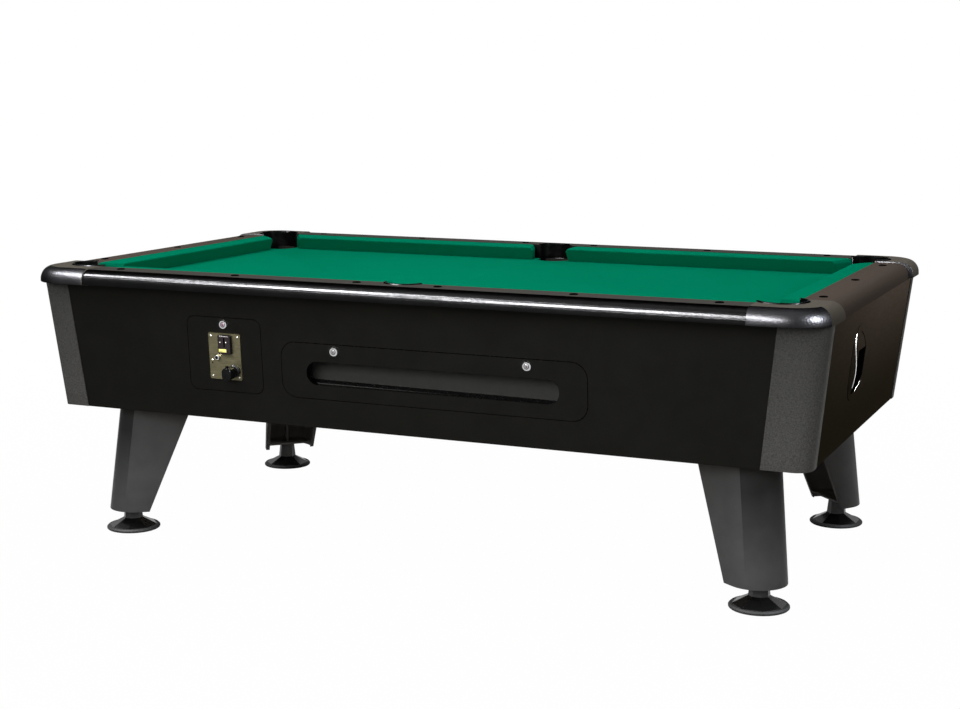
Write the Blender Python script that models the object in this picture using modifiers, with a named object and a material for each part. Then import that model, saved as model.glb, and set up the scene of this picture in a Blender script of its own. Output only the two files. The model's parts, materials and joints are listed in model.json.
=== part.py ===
"""Coin-operated pool table at real size.

Metres, +Z up. The length of the table runs along X and the coin side faces -Y.
The floor is z = 0, and the origin lies under the middle of the bed.
"""

import math

import bmesh
import bpy
from mathutils import Matrix, Vector

# Clearances
FIT = 0.0003            # between two faces that touch
RUNNING = 0.0006        # round a shaft or a stem that turns or slides
DOOR_GAP = 0.002        # all round an access door
LINK_GAP = 0.0015       # between a lever and what pulls it
WELD = 0.000001         # points closer than this are one
BOSS = 1.2              # a boss or an end runs past the round bar in it by this share

# Playing field
FIELD_LENGTH = 1.981    # nose to nose
FIELD_WIDTH = 0.9906
BED_HEIGHT = 0.755      # top of the cloth above the floor
CLOTH = 0.001
SLATE = 0.020
NOSE_RISE = 0.038       # cushion nose above the cloth
NOSE_RADIUS = 0.004
NOSE_START = 212        # degrees round the nose, from its underside
NOSE_END = 100
CUSHION_WIDTH = 0.059
CUSHION_UNDERCUT = 0.016

# Pockets
CORNER_MOUTH = 0.0655   # nose tip to the corner of the field
CORNER_JAW = 0.042      # how far the back of a cushion runs past its nose tip
SIDE_MOUTH = 0.116      # across the nose tips of a middle pocket
SIDE_JAW = 0.013
CORNER_BORE = 0.0578    # radius
CORNER_OFFSET = 0.0295  # pocket centre outside the corner of the field, each way
SIDE_BORE = 0.050
SIDE_OFFSET = 0.0475    # pocket centre outside the nose line
LINER_WALL = 0.0027
LIP_WIDTH = 0.006
LIP_HEIGHT = 0.003
LIP_ROUND = 0.003
LIP_BEVEL = 0.001
LINER_DEPTH = 0.038     # below the cloth
LINER_SUNK = 0.006      # rim on the field side, below the cloth

# Rails and corner castings
RAIL_RISE = 0.045       # rail top above the cloth
RAIL_FLAT = 0.076
RAIL_NOSE = 0.0325
RAIL_GROOVE = 0.0025    # between the flat top and the nose of a long rail
NOSE_BASE = 0.010       # where the round of a nose starts, above the foot of the rail
NOSE_LIFT = 0.0045      # lower edge of an overhanging nose above the foot of the rail
NOSE_DRAFT = 0.030      # how far the underside slopes in from that edge
END_RAIL_ROUND = 0.038  # an end rail is rounded over and flush with the cabinet
CASTING_PROUD = 0.005
CASTING_LIFT = 0.003
CASTING_RADIUS = 0.110
SEAM_MARGIN = 0.001     # casting seam past the pocket's edge

# Cabinet
CABINET_HEIGHT = 0.3667
END_OVERHANG = 0.008    # rail beyond the top of the cabinet
SIDE_OVERHANG = 0.0653
END_LEAN = 0.0405       # top of the cabinet beyond its bottom
SIDE_LEAN = 0.0255
PANEL = 0.020
BASE_BOARD = 0.015
POST_SHEET = 0.0025
LEFT_POST_RADIUS = 0.014
RIGHT_POST_RADIUS = 0.045
LEFT_POST_WING = 0.082
RIGHT_POST_WING = 0.124
END_POST_WING = 0.075
FRAME_DEPTH = 0.040
FRAME_WIDTH = 0.040
FRAME_BAR_X = 0.620
FRAME_RAIL_GAP = 0.024  # between a frame member and the corner liners
FRAME_BRIDGE = 0.018    # depth of a cross bar where balls run under it

# Doors in the front panel
SILL_DROP = 0.2862      # bottom of both doors below the top of the cabinet
BALL_DOOR_X = 0.086
BALL_DOOR_WIDTH = 0.902
BALL_DOOR_HEIGHT = 0.1585
BALL_DOOR_RADIUS = 0.045
SLOT_LENGTH = 0.744
SLOT_HEIGHT = 0.066
SLOT_RISE = 0.0735      # middle of the slot above the sill
COIN_DOOR_X = -0.5455
COIN_DOOR_WIDTH = 0.241
COIN_DOOR_HEIGHT = 0.2135
COIN_DOOR_RADIUS = 0.025

# Cam locks
LOCK_SPREAD = 0.567     # between the two locks of the ball door
LOCK_DROP = 0.021       # below the top edge of a door
LOCK_FLANGE = 0.012
LOCK_BARREL = 0.009
LOCK_PROUD = 0.004
LOCK_EDGE = 0.001
CAM_SETBACK = 0.0055    # behind the door
CAM_LENGTH = 0.035
CAM_WIDTH = 0.010
CAM_SHEET = 0.003

# Coin fittings, placed from the middle of the coin plate
PLATE_X = 0.002         # from the middle of the coin door
PLATE_RISE = 0.102      # above the sill
PLATE_WIDTH = 0.103
PLATE_HEIGHT = 0.132
PLATE_SHEET = 0.003
PLATE_CORNER = 0.004
PLATE_HOLE_X = 0.0055
PLATE_HOLE_Z = -0.0035
PLATE_HOLE = 0.0015
BEZEL_X = 0.004
BEZEL_Z = 0.0355
BEZEL_WIDTH = 0.041
BEZEL_HEIGHT = 0.054
BEZEL_PROUD = 0.008
BEZEL_DEPTH = 0.010
BEZEL_CORNER = 0.003
COIN_SLOT_WIDTH = 0.0045
COIN_SLOT_HEIGHT = 0.028
COIN_SLOT_Z = 0.006
BUTTON_X = -0.0235
BUTTON_Z = -0.003
BUTTON_RADIUS = 0.0075
BUTTON_PROUD = 0.008
BUTTON_EDGE = 0.0015
BUTTON_TRAVEL = 0.005
KNOB_X = 0.0295
KNOB_Z = -0.0395
KNOB_RADIUS = 0.018     # flange at the plate
KNOB_FLANGE = 0.009
KNOB_NECK = 0.012
KNOB_GRIP_START = 0.022
KNOB_REACH = 0.048
KNOB_GRIP_WIDTH = 0.029
KNOB_GRIP_HEIGHT = 0.034
KNOB_CORNER = 0.010
KNOB_EDGE = 0.003
KNOB_POINTER = 0.006
KNOB_POINTER_SPAN = (0.012, 0.004)  # back from the end of the grip
SHAFT_RADIUS = 0.004
CRANK_DEPTH = 0.078     # back of the crank disc behind the door's face
CRANK_SHEET = 0.004
CRANK_RADIUS = 0.018
CRANK_THROW = 0.014
PIN_RADIUS = 0.003
PIN_LENGTH = 0.018
MECHANISM_WIDTH = 0.083
MECHANISM_LOW = -0.0095
MECHANISM_HEIGHT = 0.058
MECHANISM_DEPTH = 0.0765
CHUTE_WIDTH = 0.026
CHUTE_SPAN = (0.9, 0.4)  # shares of the mechanism's depth

# Ball path inside the cabinet
SHEET = 0.003
BALL_ROOM = 0.066       # inside width of a trough for one ball
GULLY_DROP = 0.1137     # lowest point of a gully floor below the top of the cabinet
GULLY_FALL = 0.012      # rise per metre of length
GULLY_WALL = 0.028
GULLY_OUTER = 0.030     # outer wall from the panel's inner face
GULLY_WIDTH = 0.0885
GULLY_BRACKET_X = 0.80
BRACKET_WIDTH = 0.040
COLLECTOR_X = -0.365
COLLECTOR_FALL = 0.050
COLLECTOR_WALL = 0.034
SEPARATOR_CLEAR = 0.0587  # lets the object balls under and stops the larger cue ball
SEPARATOR_HEIGHT = 0.016
TRAY_DROP = 0.2452      # tray floor at its left end below the top of the cabinet
TRAY_FALL = 0.008
TRAY_ROOM = 0.059
TRAY_WALL = 0.080
TRAY_LIP = 0.003
TRAY_END = 0.016        # beyond the right end of the slot
CHEEK_LENGTH = 0.040
CUE_CHUTE_STEP = 0.004
CUE_CHUTE_FALL = 0.0115
CUE_CHUTE_WALL = 0.034
STAND = 0.030           # square uprights that carry the troughs

# Release gate and pull rod
GATE_SHEET = 0.004
GATE_INSET = 0.0105     # pivot from the left end of the tray
GATE_RISE = 0.0855      # pivot above the tray floor
GATE_ARM = 0.028
PIVOT_RADIUS = 0.004
ROD_RADIUS = 0.004
ROD_RISE = 0.018        # rod above the gate's pivot
YOKE_DROP = 0.080
ROD_GUIDE = 0.033

# Cue-ball outlet in the right end
OUTLET_Y = -0.172
OUTLET_DROP = 0.1502
OUTLET_WIDTH = 0.090
OUTLET_HEIGHT = 0.170
OUTLET_FLANGE = 0.016
OUTLET_PROUD = 0.002    # edge of the flange
OUTLET_LIP = 0.015      # how much further the lip stands out at half its height
OUTLET_CREST = 0.004
OUTLET_ROUND = 0.9      # share of the lip at the edges of its crest
OUTLET_WALL = 0.003
OUTLET_DEPTH = 0.048

# Cash box
CASH_X = -0.545
CASH_LENGTH = 0.170
CASH_WIDTH = 0.140
CASH_HEIGHT = 0.050
CASH_FRONT = 0.012      # behind the front panel

# Legs and feet
FOOT_INSET_X = 0.1453   # foot centre inside the bottom of the cabinet
FOOT_INSET_Y = 0.115
LEG_LOW = 0.0637
LEG_BEND = 0.080
LEG_TURN = 0.629        # each wing turns in past a right angle by this much
LEG_SHIFT = (0.0095, 0.0083)
LEG_SPLAY = (0.0325, 0.0278)
LEG_WING_LOW = 0.0345
LEG_WING_HIGH = 0.129
LEG_FLANGE = 0.012
LEG_SHEET = 0.0035
LEG_PLATE = 0.006
FOOT_RADIUS = 0.079
FOOT_RIM = 0.010
FOOT_EDGE = 0.004
FOOT_CHAMFER = 0.002
FOOT_CONE = 0.072
FOOT_NECK = 0.029
FOOT_NECK_Z = 0.032
FOOT_STEM = 0.024
FOOT_STEM_TOP = 0.078
SHANK_RADIUS = 0.008
SHANK_LENGTH = 0.062

# Finishes: colour, roughness, metallic
BLACK_BOARD = ((0.012, 0.011, 0.010), 0.45, 0.0)
BLACK_RAIL = ((0.020, 0.020, 0.019), 0.30, 0.0)
GREY_SHEET = ((0.075, 0.075, 0.074), 0.55, 0.6)
LEG_GREY = ((0.045, 0.045, 0.045), 0.45, 0.5)
GREEN_CLOTH = ((0.002, 0.195, 0.110), 0.95, 0.0)
SLATE_GREY = ((0.075, 0.080, 0.085), 0.80, 0.0)
RUBBER = ((0.010, 0.010, 0.010), 0.60, 0.0)
CHROME = ((0.60, 0.60, 0.60), 0.15, 1.0)
STEEL = ((0.35, 0.35, 0.34), 0.35, 1.0)
ZINC = ((0.42, 0.42, 0.40), 0.45, 1.0)
BLACK_PLASTIC = ((0.012, 0.012, 0.012), 0.35, 0.0)
GREY_PLASTIC = ((0.16, 0.16, 0.155), 0.55, 0.0)
PLYWOOD = ((0.36, 0.24, 0.13), 0.75, 0.0)

# Heights that follow from the sizes above
SLATE_TOP = BED_HEIGHT - CLOTH - FIT
SLATE_LOW = SLATE_TOP - SLATE
CABINET_TOP = SLATE_TOP
CABINET_LOW = CABINET_TOP - CABINET_HEIGHT
BASE_TOP = CABINET_LOW + BASE_BOARD
RAIL_LOW = SLATE_TOP + FIT
RAIL_TOP = BED_HEIGHT + RAIL_RISE
CASTING_TOP = RAIL_TOP + CASTING_LIFT
LINER_LOW = BED_HEIGHT - LINER_DEPTH
SILL = CABINET_TOP - SILL_DROP

# Half sizes in plan that follow from the sizes above
FIELD_X = FIELD_LENGTH / 2
FIELD_Y = FIELD_WIDTH / 2
RAIL_INNER_X = FIELD_X + CUSHION_WIDTH
RAIL_INNER_Y = FIELD_Y + CUSHION_WIDTH
RAIL_OUTER_X = RAIL_INNER_X + RAIL_FLAT + RAIL_NOSE
RAIL_OUTER_Y = RAIL_INNER_Y + RAIL_FLAT + RAIL_NOSE
POCKET_X = FIELD_X + CORNER_OFFSET
POCKET_Y = FIELD_Y + CORNER_OFFSET
SIDE_POCKET_Y = FIELD_Y + SIDE_OFFSET
CORNER_CUT = CORNER_BORE + LINER_WALL + RUNNING
SIDE_CUT = SIDE_BORE + LINER_WALL + RUNNING
SEAM_X = POCKET_X - math.sqrt(CORNER_CUT ** 2 - (RAIL_INNER_Y - POCKET_Y) ** 2) - SEAM_MARGIN
SEAM_Y = POCKET_Y - math.sqrt(CORNER_CUT ** 2 - (RAIL_INNER_X - POCKET_X) ** 2) - SEAM_MARGIN
TOP_X = RAIL_OUTER_X - END_OVERHANG
TOP_Y = RAIL_OUTER_Y - SIDE_OVERHANG
FACE_SETBACK = POST_SHEET + FIT
FOOT_X = TOP_X - END_LEAN - FOOT_INSET_X
FOOT_Y = TOP_Y - SIDE_LEAN - FOOT_INSET_Y

# Frames that stand a flat outline up, and the four sides and corners of the table
ALONG_X = Matrix(((0, 0, 1, 0), (1, 0, 0, 0), (0, 1, 0, 0), (0, 0, 0, 1)))
ALONG_Y = Matrix(((1, 0, 0, 0), (0, 0, 1, 0), (0, 1, 0, 0), (0, 0, 0, 1)))
REAR = Matrix()
FRONT = Matrix.Diagonal((1, -1, 1, 1))
RIGHT = Matrix(((0, 1, 0, 0), (1, 0, 0, 0), (0, 0, 1, 0), (0, 0, 0, 1)))
LEFT = Matrix.Diagonal((-1, 1, 1, 1)) @ RIGHT
CORNERS = {
    "front_left": Matrix.Diagonal((-1, -1, 1, 1)),
    "front_right": Matrix.Diagonal((1, -1, 1, 1)),
    "rear_left": Matrix.Diagonal((-1, 1, 1, 1)),
    "rear_right": Matrix(),
}


def half_length(z):
    """Outer half length of the cabinet at this height."""
    return TOP_X - END_LEAN * (CABINET_TOP - z) / CABINET_HEIGHT


def half_width(z):
    """Outer half width of the cabinet at this height."""
    return TOP_Y - SIDE_LEAN * (CABINET_TOP - z) / CABINET_HEIGHT


def inner_length(z):
    """Half length between the end panels at this height."""
    return half_length(z) - FACE_SETBACK - PANEL


def inner_width(z):
    """Half width between the long panels at this height."""
    return half_width(z) - FACE_SETBACK - PANEL


def lean(end, side):
    """Shear that leans a piece with an end wall, a side wall or both."""
    along = end * END_LEAN / CABINET_HEIGHT
    across = side * SIDE_LEAN / CABINET_HEIGHT
    return Matrix((
        (1, 0, along, -along * CABINET_TOP),
        (0, 1, across, -across * CABINET_TOP),
        (0, 0, 1, 0),
        (0, 0, 0, 1),
    ))


def front_frame(x, z):
    """Frame on the face of the front panel: X along it, Y up it, Z out of it."""
    tilt = math.atan2(SIDE_LEAN, CABINET_HEIGHT)
    place = Matrix.Translation((x, FACE_SETBACK - half_width(z), z))
    return place @ Matrix.Rotation(math.pi / 2 + tilt, 4, "X")


# Shapes

def evaluated(data, modifiers=()):
    """The mesh that Blender makes of a curve or a mesh with these modifiers on it."""
    helper = bpy.data.objects.new("helper", data)
    bpy.context.scene.collection.objects.link(helper)
    for kind, settings in modifiers:
        modifier = helper.modifiers.new(kind, kind)
        for key, value in settings.items():
            setattr(modifier, key, value)
    graph = bpy.context.evaluated_depsgraph_get()
    mesh = bpy.data.meshes.new_from_object(helper.evaluated_get(graph))
    bpy.data.objects.remove(helper)
    return mesh


def settled(mesh, frame=Matrix()):
    """The mesh welded, put in place and facing outwards."""
    shape = bmesh.new()
    shape.from_mesh(mesh)
    bmesh.ops.remove_doubles(shape, verts=shape.verts, dist=WELD)
    bmesh.ops.transform(shape, matrix=frame, verts=shape.verts)
    bmesh.ops.recalc_face_normals(shape, faces=shape.faces)
    shape.to_mesh(mesh)
    shape.free()
    return mesh


def prism(loops, low, high, frame=Matrix()):
    """A flat outline, with holes if it has more than one loop, given a thickness."""
    curve = bpy.data.curves.new("outline", "CURVE")
    curve.dimensions = "2D"
    curve.fill_mode = "BOTH"
    curve.extrude = (high - low) / 2
    for loop in loops:
        spline = curve.splines.new("POLY")
        spline.points.add(len(loop) - 1)
        for point, (across, up) in zip(spline.points, loop):
            point.co = (across, up, 0, 1)
        spline.use_cyclic_u = True
    return settled(evaluated(curve), frame @ Matrix.Translation((0, 0, (low + high) / 2)))


def block(x, y, z, frame=Matrix()):
    """A box between the two values given for each axis."""
    shape = bmesh.new()
    bmesh.ops.create_cube(shape, size=1)
    middle = Vector(((x[0] + x[1]) / 2, (y[0] + y[1]) / 2, (z[0] + z[1]) / 2))
    size = Matrix.Diagonal((x[1] - x[0], y[1] - y[0], z[1] - z[0], 1))
    bmesh.ops.transform(shape, matrix=Matrix.Translation(middle) @ size, verts=shape.verts)
    mesh = bpy.data.meshes.new("block")
    shape.to_mesh(mesh)
    shape.free()
    return settled(mesh, frame)


def turned(profile, sides, frame=Matrix()):
    """A closed profile of radius and height turned about Z."""
    mesh = bpy.data.meshes.new("profile")
    points = [(radius, 0, height) for radius, height in profile]
    edges = [(i, (i + 1) % len(points)) for i in range(len(points))]
    mesh.from_pydata(points, edges, [])
    screw = {
        "axis": "Z", "angle": 2 * math.pi, "steps": sides, "render_steps": sides,
        "use_merge_vertices": True, "merge_threshold": 10 * WELD,
    }
    return settled(evaluated(mesh, [("SCREW", screw)]), frame)


def rod(radius, low, high, sides, frame=Matrix()):
    """A round bar along Z."""
    return turned([(0, high), (radius, high), (radius, low), (0, low)], sides, frame)


def loft(rings, round_again=False):
    """A solid through rings of the same number of points, closed at both ends or back on itself."""
    shape = bmesh.new()
    rows = [[shape.verts.new(point) for point in ring] for ring in rings]
    if round_again:
        rows.append(rows[0])
    for lower, upper in zip(rows, rows[1:]):
        for i in range(len(lower)):
            j = (i + 1) % len(lower)
            shape.faces.new((lower[i], lower[j], upper[j], upper[i]))
    if not round_again:
        shape.faces.new(rows[0])
        shape.faces.new(rows[-1])
    mesh = bpy.data.meshes.new("loft")
    shape.to_mesh(mesh)
    shape.free()
    return settled(mesh)


# Outlines

def arc(centre, radius, start, end, steps):
    """Points on an arc, with the angles in radians."""
    turn = (end - start) / steps
    return [
        (centre[0] + radius * math.cos(start + turn * i), centre[1] + radius * math.sin(start + turn * i))
        for i in range(steps + 1)
    ]


def circle(centre, radius, sides=24):
    return arc(centre, radius, 0, 2 * math.pi, sides)[:-1]


def rounded(centre, width, height, radius, steps=5):
    """A rectangle with round corners."""
    across = width / 2 - radius
    up = height / 2 - radius
    points = []
    for i, (right, top) in enumerate(((1, 1), (-1, 1), (-1, -1), (1, -1))):
        corner = (centre[0] + right * across, centre[1] + top * up)
        points += arc(corner, radius, i * math.pi / 2, (i + 1) * math.pi / 2, steps)
    return points


def stadium(centre, width, height, steps=10):
    """A slot with half-round ends, lying or standing."""
    radius = min(width, height) / 2 - 10 * WELD
    return rounded(centre, width, height, radius, steps)


def strip(line, thickness):
    """The outline of a bent sheet: a line and its copy set over to the left by the thickness."""
    points = [Vector(point) for point in line]
    inner = []
    for i, point in enumerate(points):
        before = (point - points[i - 1]).normalized() if i else None
        after = (points[i + 1] - point).normalized() if i + 1 < len(points) else None
        before = before or after
        after = after or before
        bisector = (Vector((-before.y, before.x)) + Vector((-after.y, after.x))).normalized()
        reach = thickness / max(0.2, bisector.dot(Vector((-after.y, after.x))))
        inner.append(point + bisector * reach)
    return [tuple(point) for point in points] + [tuple(point) for point in reversed(inner)]


def nose_round(steps=10):
    """The round of a nose from its top: share of its depth inside the widest line, and of its height."""
    angles = [math.pi / 2 * (1 - i / steps) for i in range(steps + 1)]
    return [(1 - math.cos(angle), math.sin(angle)) for angle in angles]


def nose_section(inner, outer, nose):
    """Section of a rail: upright inside, flat on top and rounded over outside."""
    base = RAIL_LOW + NOSE_BASE
    points = [(inner, RAIL_LOW), (inner, RAIL_TOP)]
    for inset, rise in nose_round():
        points.append((outer - nose * inset, base + (RAIL_TOP - base) * rise))
    return points


def trough(outer, inner, floor, wall, sheet):
    """Section of an open trough between two inside faces."""
    step = sheet if inner > outer else -sheet
    return [
        (outer - step, floor + wall), (outer - step, floor - sheet), (inner + step, floor - sheet),
        (inner + step, floor + wall), (inner, floor + wall), (inner, floor), (outer, floor),
        (outer, floor + wall),
    ]


# Parts and the tools that shape them

def part(name, mesh, finish, origin=None):
    """A named piece with its own finish. A moving piece has its origin on its joint."""
    colour, roughness, metallic = finish
    material = bpy.data.materials.new(name + "_finish")
    material.use_nodes = True
    shader = material.node_tree.nodes["Principled BSDF"]
    shader.inputs["Base Color"].default_value = (*colour, 1)
    shader.inputs["Roughness"].default_value = roughness
    shader.inputs["Metallic"].default_value = metallic
    material.diffuse_color = (*colour, 1)
    mesh.name = name
    mesh.materials.clear()
    mesh.materials.append(material)
    piece = bpy.data.objects.new(name, mesh)
    if origin is not None:
        mesh.transform(Matrix.Translation(-Vector(origin)))
        piece.location = origin
    PARTS.objects.link(piece)
    return piece


def combine(piece, operation, meshes):
    """Put Booleans on a piece, with their shapes kept as wire tools."""
    for mesh in meshes:
        mesh.name = f"{piece.name}_tool"
        tool = bpy.data.objects.new(mesh.name, mesh)
        tool.display_type = "WIRE"
        tool.hide_render = True
        TOOLS.objects.link(tool)
        modifier = piece.modifiers.new(operation.title(), "BOOLEAN")
        modifier.operation = operation
        modifier.solver = "EXACT"
        modifier.object = tool


def cut(piece, *meshes):
    combine(piece, "DIFFERENCE", meshes)


def join(piece, *meshes):
    combine(piece, "UNION", meshes)


# Bed

def pocket_cuts(low, high):
    """What the six pockets take out of the slate and the cloth."""
    far_x = RAIL_OUTER_X
    far_y = RAIL_OUTER_Y
    for frame in CORNERS.values():
        yield prism([circle((POCKET_X, POCKET_Y), CORNER_CUT, 40)], low, high, frame)
        yield block((POCKET_X, far_x), (POCKET_Y, far_y), (low, high), frame)
    for frame in (FRONT, REAR):
        yield prism([circle((0, SIDE_POCKET_Y), SIDE_CUT, 40)], low, high, frame)
        yield block((-SIDE_CUT, SIDE_CUT), (SIDE_POCKET_Y, far_y), (low, high), frame)


def make_bed():
    slate_x = inner_length(SLATE_LOW) - RUNNING
    slate_y = inner_width(SLATE_LOW) - RUNNING
    slate = part(
        "slate_bed",
        block((-slate_x, slate_x), (-slate_y, slate_y), (SLATE_LOW, SLATE_TOP)),
        SLATE_GREY,
    )
    cut(slate, *pocket_cuts(SLATE_LOW - CLOTH, BED_HEIGHT))

    cloth_x = RAIL_INNER_X - FIT
    cloth_y = RAIL_INNER_Y - FIT
    cloth = part(
        "bed_cloth",
        block((-cloth_x, cloth_x), (-cloth_y, cloth_y), (BED_HEIGHT - CLOTH, BED_HEIGHT)),
        GREEN_CLOTH,
    )
    cut(cloth, *pocket_cuts(SLATE_TOP - CLOTH, BED_HEIGHT + CLOTH))


def cushion_section():
    """Section of a cushion: outward from the nose line, and height."""
    foot = BED_HEIGHT + FIT
    nose = (NOSE_RADIUS, BED_HEIGHT + NOSE_RISE)
    back = CUSHION_WIDTH - FIT
    points = [(back, RAIL_TOP - FIT), (back, foot), (CUSHION_UNDERCUT, foot)]
    return points + arc(nose, NOSE_RADIUS, math.radians(NOSE_START), math.radians(NOSE_END), 5)


def make_cushion(name, side, line, start, end):
    """A cushion along one side. Each end is a nose tip and how far the back runs past it."""
    mesh = prism([cushion_section()], start[0], end[0])
    for vertex in mesh.vertices:
        depth = vertex.co.x / CUSHION_WIDTH
        low = abs(vertex.co.z - start[0]) < abs(vertex.co.z - end[0])
        vertex.co.z += -depth * start[1] if low else depth * end[1]
    place = side @ Matrix.Translation((0, line, 0)) @ ALONG_X
    part(name, settled(mesh, place), GREEN_CLOTH)


def make_cushions():
    corner = FIELD_X - CORNER_MOUTH
    middle = SIDE_MOUTH / 2
    for word, side in (("front", FRONT), ("rear", REAR)):
        make_cushion(f"cushion_{word}_left", side, FIELD_Y, (-corner, CORNER_JAW), (-middle, -SIDE_JAW))
        make_cushion(f"cushion_{word}_right", side, FIELD_Y, (middle, -SIDE_JAW), (corner, CORNER_JAW))
    corner = FIELD_Y - CORNER_MOUTH
    for word, side in (("left", LEFT), ("right", RIGHT)):
        make_cushion(f"cushion_{word}_end", side, FIELD_X, (-corner, CORNER_JAW), (corner, CORNER_JAW))


def make_rails():
    for word, side in (("front", FRONT), ("rear", REAR)):
        section = nose_section(RAIL_INNER_Y, RAIL_OUTER_Y, RAIL_NOSE)
        flat = RAIL_INNER_Y + RAIL_FLAT
        low = RAIL_TOP - RAIL_GROOVE
        section[2:2] = [(flat - RAIL_GROOVE, RAIL_TOP), (flat - RAIL_GROOVE, low), (flat, low)]
        section += [(RAIL_OUTER_Y, RAIL_LOW + NOSE_LIFT), (RAIL_OUTER_Y - NOSE_DRAFT, RAIL_LOW)]
        reach = SEAM_X - FIT
        rail = part(f"long_rail_{word}", prism([section], -reach, reach, side @ ALONG_X), BLACK_RAIL)
        bore = circle((0, SIDE_POCKET_Y), SIDE_CUT, 40)
        cut(rail, prism([bore], RAIL_LOW - CLOTH, CASTING_TOP, side))
    for word, side in (("left", LEFT), ("right", RIGHT)):
        section = nose_section(RAIL_INNER_X, TOP_X, END_RAIL_ROUND) + [(TOP_X, RAIL_LOW)]
        reach = SEAM_Y - FIT
        part(f"end_rail_{word}", prism([section], -reach, reach, side @ ALONG_X), BLACK_RAIL)


def casting_ring(inset, z):
    """Plan of a corner casting at one height, drawn in from its widest outline."""
    outer_x = RAIL_OUTER_X + CASTING_PROUD - inset
    outer_y = RAIL_OUTER_Y + CASTING_PROUD - inset
    radius = CASTING_RADIUS - inset
    bend = (outer_x - radius, outer_y - radius)
    plan = [(RAIL_INNER_X, RAIL_INNER_Y), (RAIL_INNER_X, SEAM_Y), (outer_x, SEAM_Y)]
    plan += arc(bend, radius, 0, math.pi / 2, 14)
    plan += [(SEAM_X, outer_y), (SEAM_X, RAIL_INNER_Y)]
    return [(x, y, z) for x, y in plan]


def make_castings():
    nose = RAIL_NOSE + CASTING_PROUD
    base = RAIL_LOW + NOSE_BASE
    rings = [casting_ring(NOSE_DRAFT, RAIL_LOW), casting_ring(0, RAIL_LOW + NOSE_LIFT)]
    for inset, rise in reversed(nose_round()):
        rings.append(casting_ring(nose * inset, base + (CASTING_TOP - base) * rise))
    bore = circle((POCKET_X, POCKET_Y), CORNER_CUT, 40)
    for word, corner in CORNERS.items():
        casting = part(f"corner_casting_{word}", settled(loft(rings), corner), BLACK_RAIL)
        cut(casting, prism([bore], RAIL_LOW - CLOTH, CASTING_TOP + CLOTH, corner))


def liner(bore, top, frame):
    """A pocket liner: a sleeve with a rounded lip that lies on the rail."""
    wall = bore + LINER_WALL
    lip = wall + LIP_WIDTH
    seat = top + FIT
    crown = seat + LIP_HEIGHT
    profile = [
        (bore, LINER_LOW), (bore, seat), (bore + LIP_BEVEL, crown - LIP_BEVEL), (bore + LIP_ROUND, crown),
        (lip - LIP_ROUND, crown), (lip - LIP_BEVEL, crown - LIP_BEVEL), (lip, seat),
        (wall, seat), (wall, LINER_LOW),
    ]
    return turned(profile, 44, frame)


def make_liners():
    sunk = BED_HEIGHT - LINER_SUNK
    high = CASTING_TOP + LIP_HEIGHT + CLOTH
    across = (-RAIL_OUTER_X, RAIL_OUTER_X)
    behind = (inner_width(LINER_LOW) - RUNNING, RAIL_OUTER_Y)
    for word, corner in CORNERS.items():
        place = corner @ Matrix.Translation((POCKET_X, POCKET_Y, 0))
        piece = part(f"pocket_liner_{word}", liner(CORNER_BORE, CASTING_TOP, place), RUBBER)
        cut(piece, block((0, RAIL_INNER_X + FIT), (0, RAIL_INNER_Y + FIT), (sunk, high), corner))
        cut(piece, block(across, behind, (0, RAIL_LOW + FIT), corner))
    for word, side in (("front_middle", FRONT), ("rear_middle", REAR)):
        place = side @ Matrix.Translation((0, SIDE_POCKET_Y, 0))
        piece = part(f"pocket_liner_{word}", liner(SIDE_BORE, RAIL_TOP, place), RUBBER)
        cut(piece, block(across, (0, RAIL_INNER_Y + FIT), (sunk, high), side))
        cut(piece, block(across, behind, (0, RAIL_LOW + FIT), side))


# Cabinet

def panel_outline(reach):
    """Upright outline of a panel whose ends lean out with the corners."""
    low = reach(CABINET_LOW)
    top = reach(CABINET_TOP)
    return [(-low, CABINET_LOW), (low, CABINET_LOW), (top, CABINET_TOP), (-top, CABINET_TOP)]


def door_outline(x, width, height, radius, gap=0.0):
    return rounded((x, SILL + height / 2), width - 2 * gap, height - 2 * gap, radius - gap, 6)


def ball_door_outline(gap=0.0):
    return door_outline(BALL_DOOR_X, BALL_DOOR_WIDTH, BALL_DOOR_HEIGHT, BALL_DOOR_RADIUS, gap)


def coin_door_outline(gap=0.0):
    return door_outline(COIN_DOOR_X, COIN_DOOR_WIDTH, COIN_DOOR_HEIGHT, COIN_DOOR_RADIUS, gap)


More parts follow.
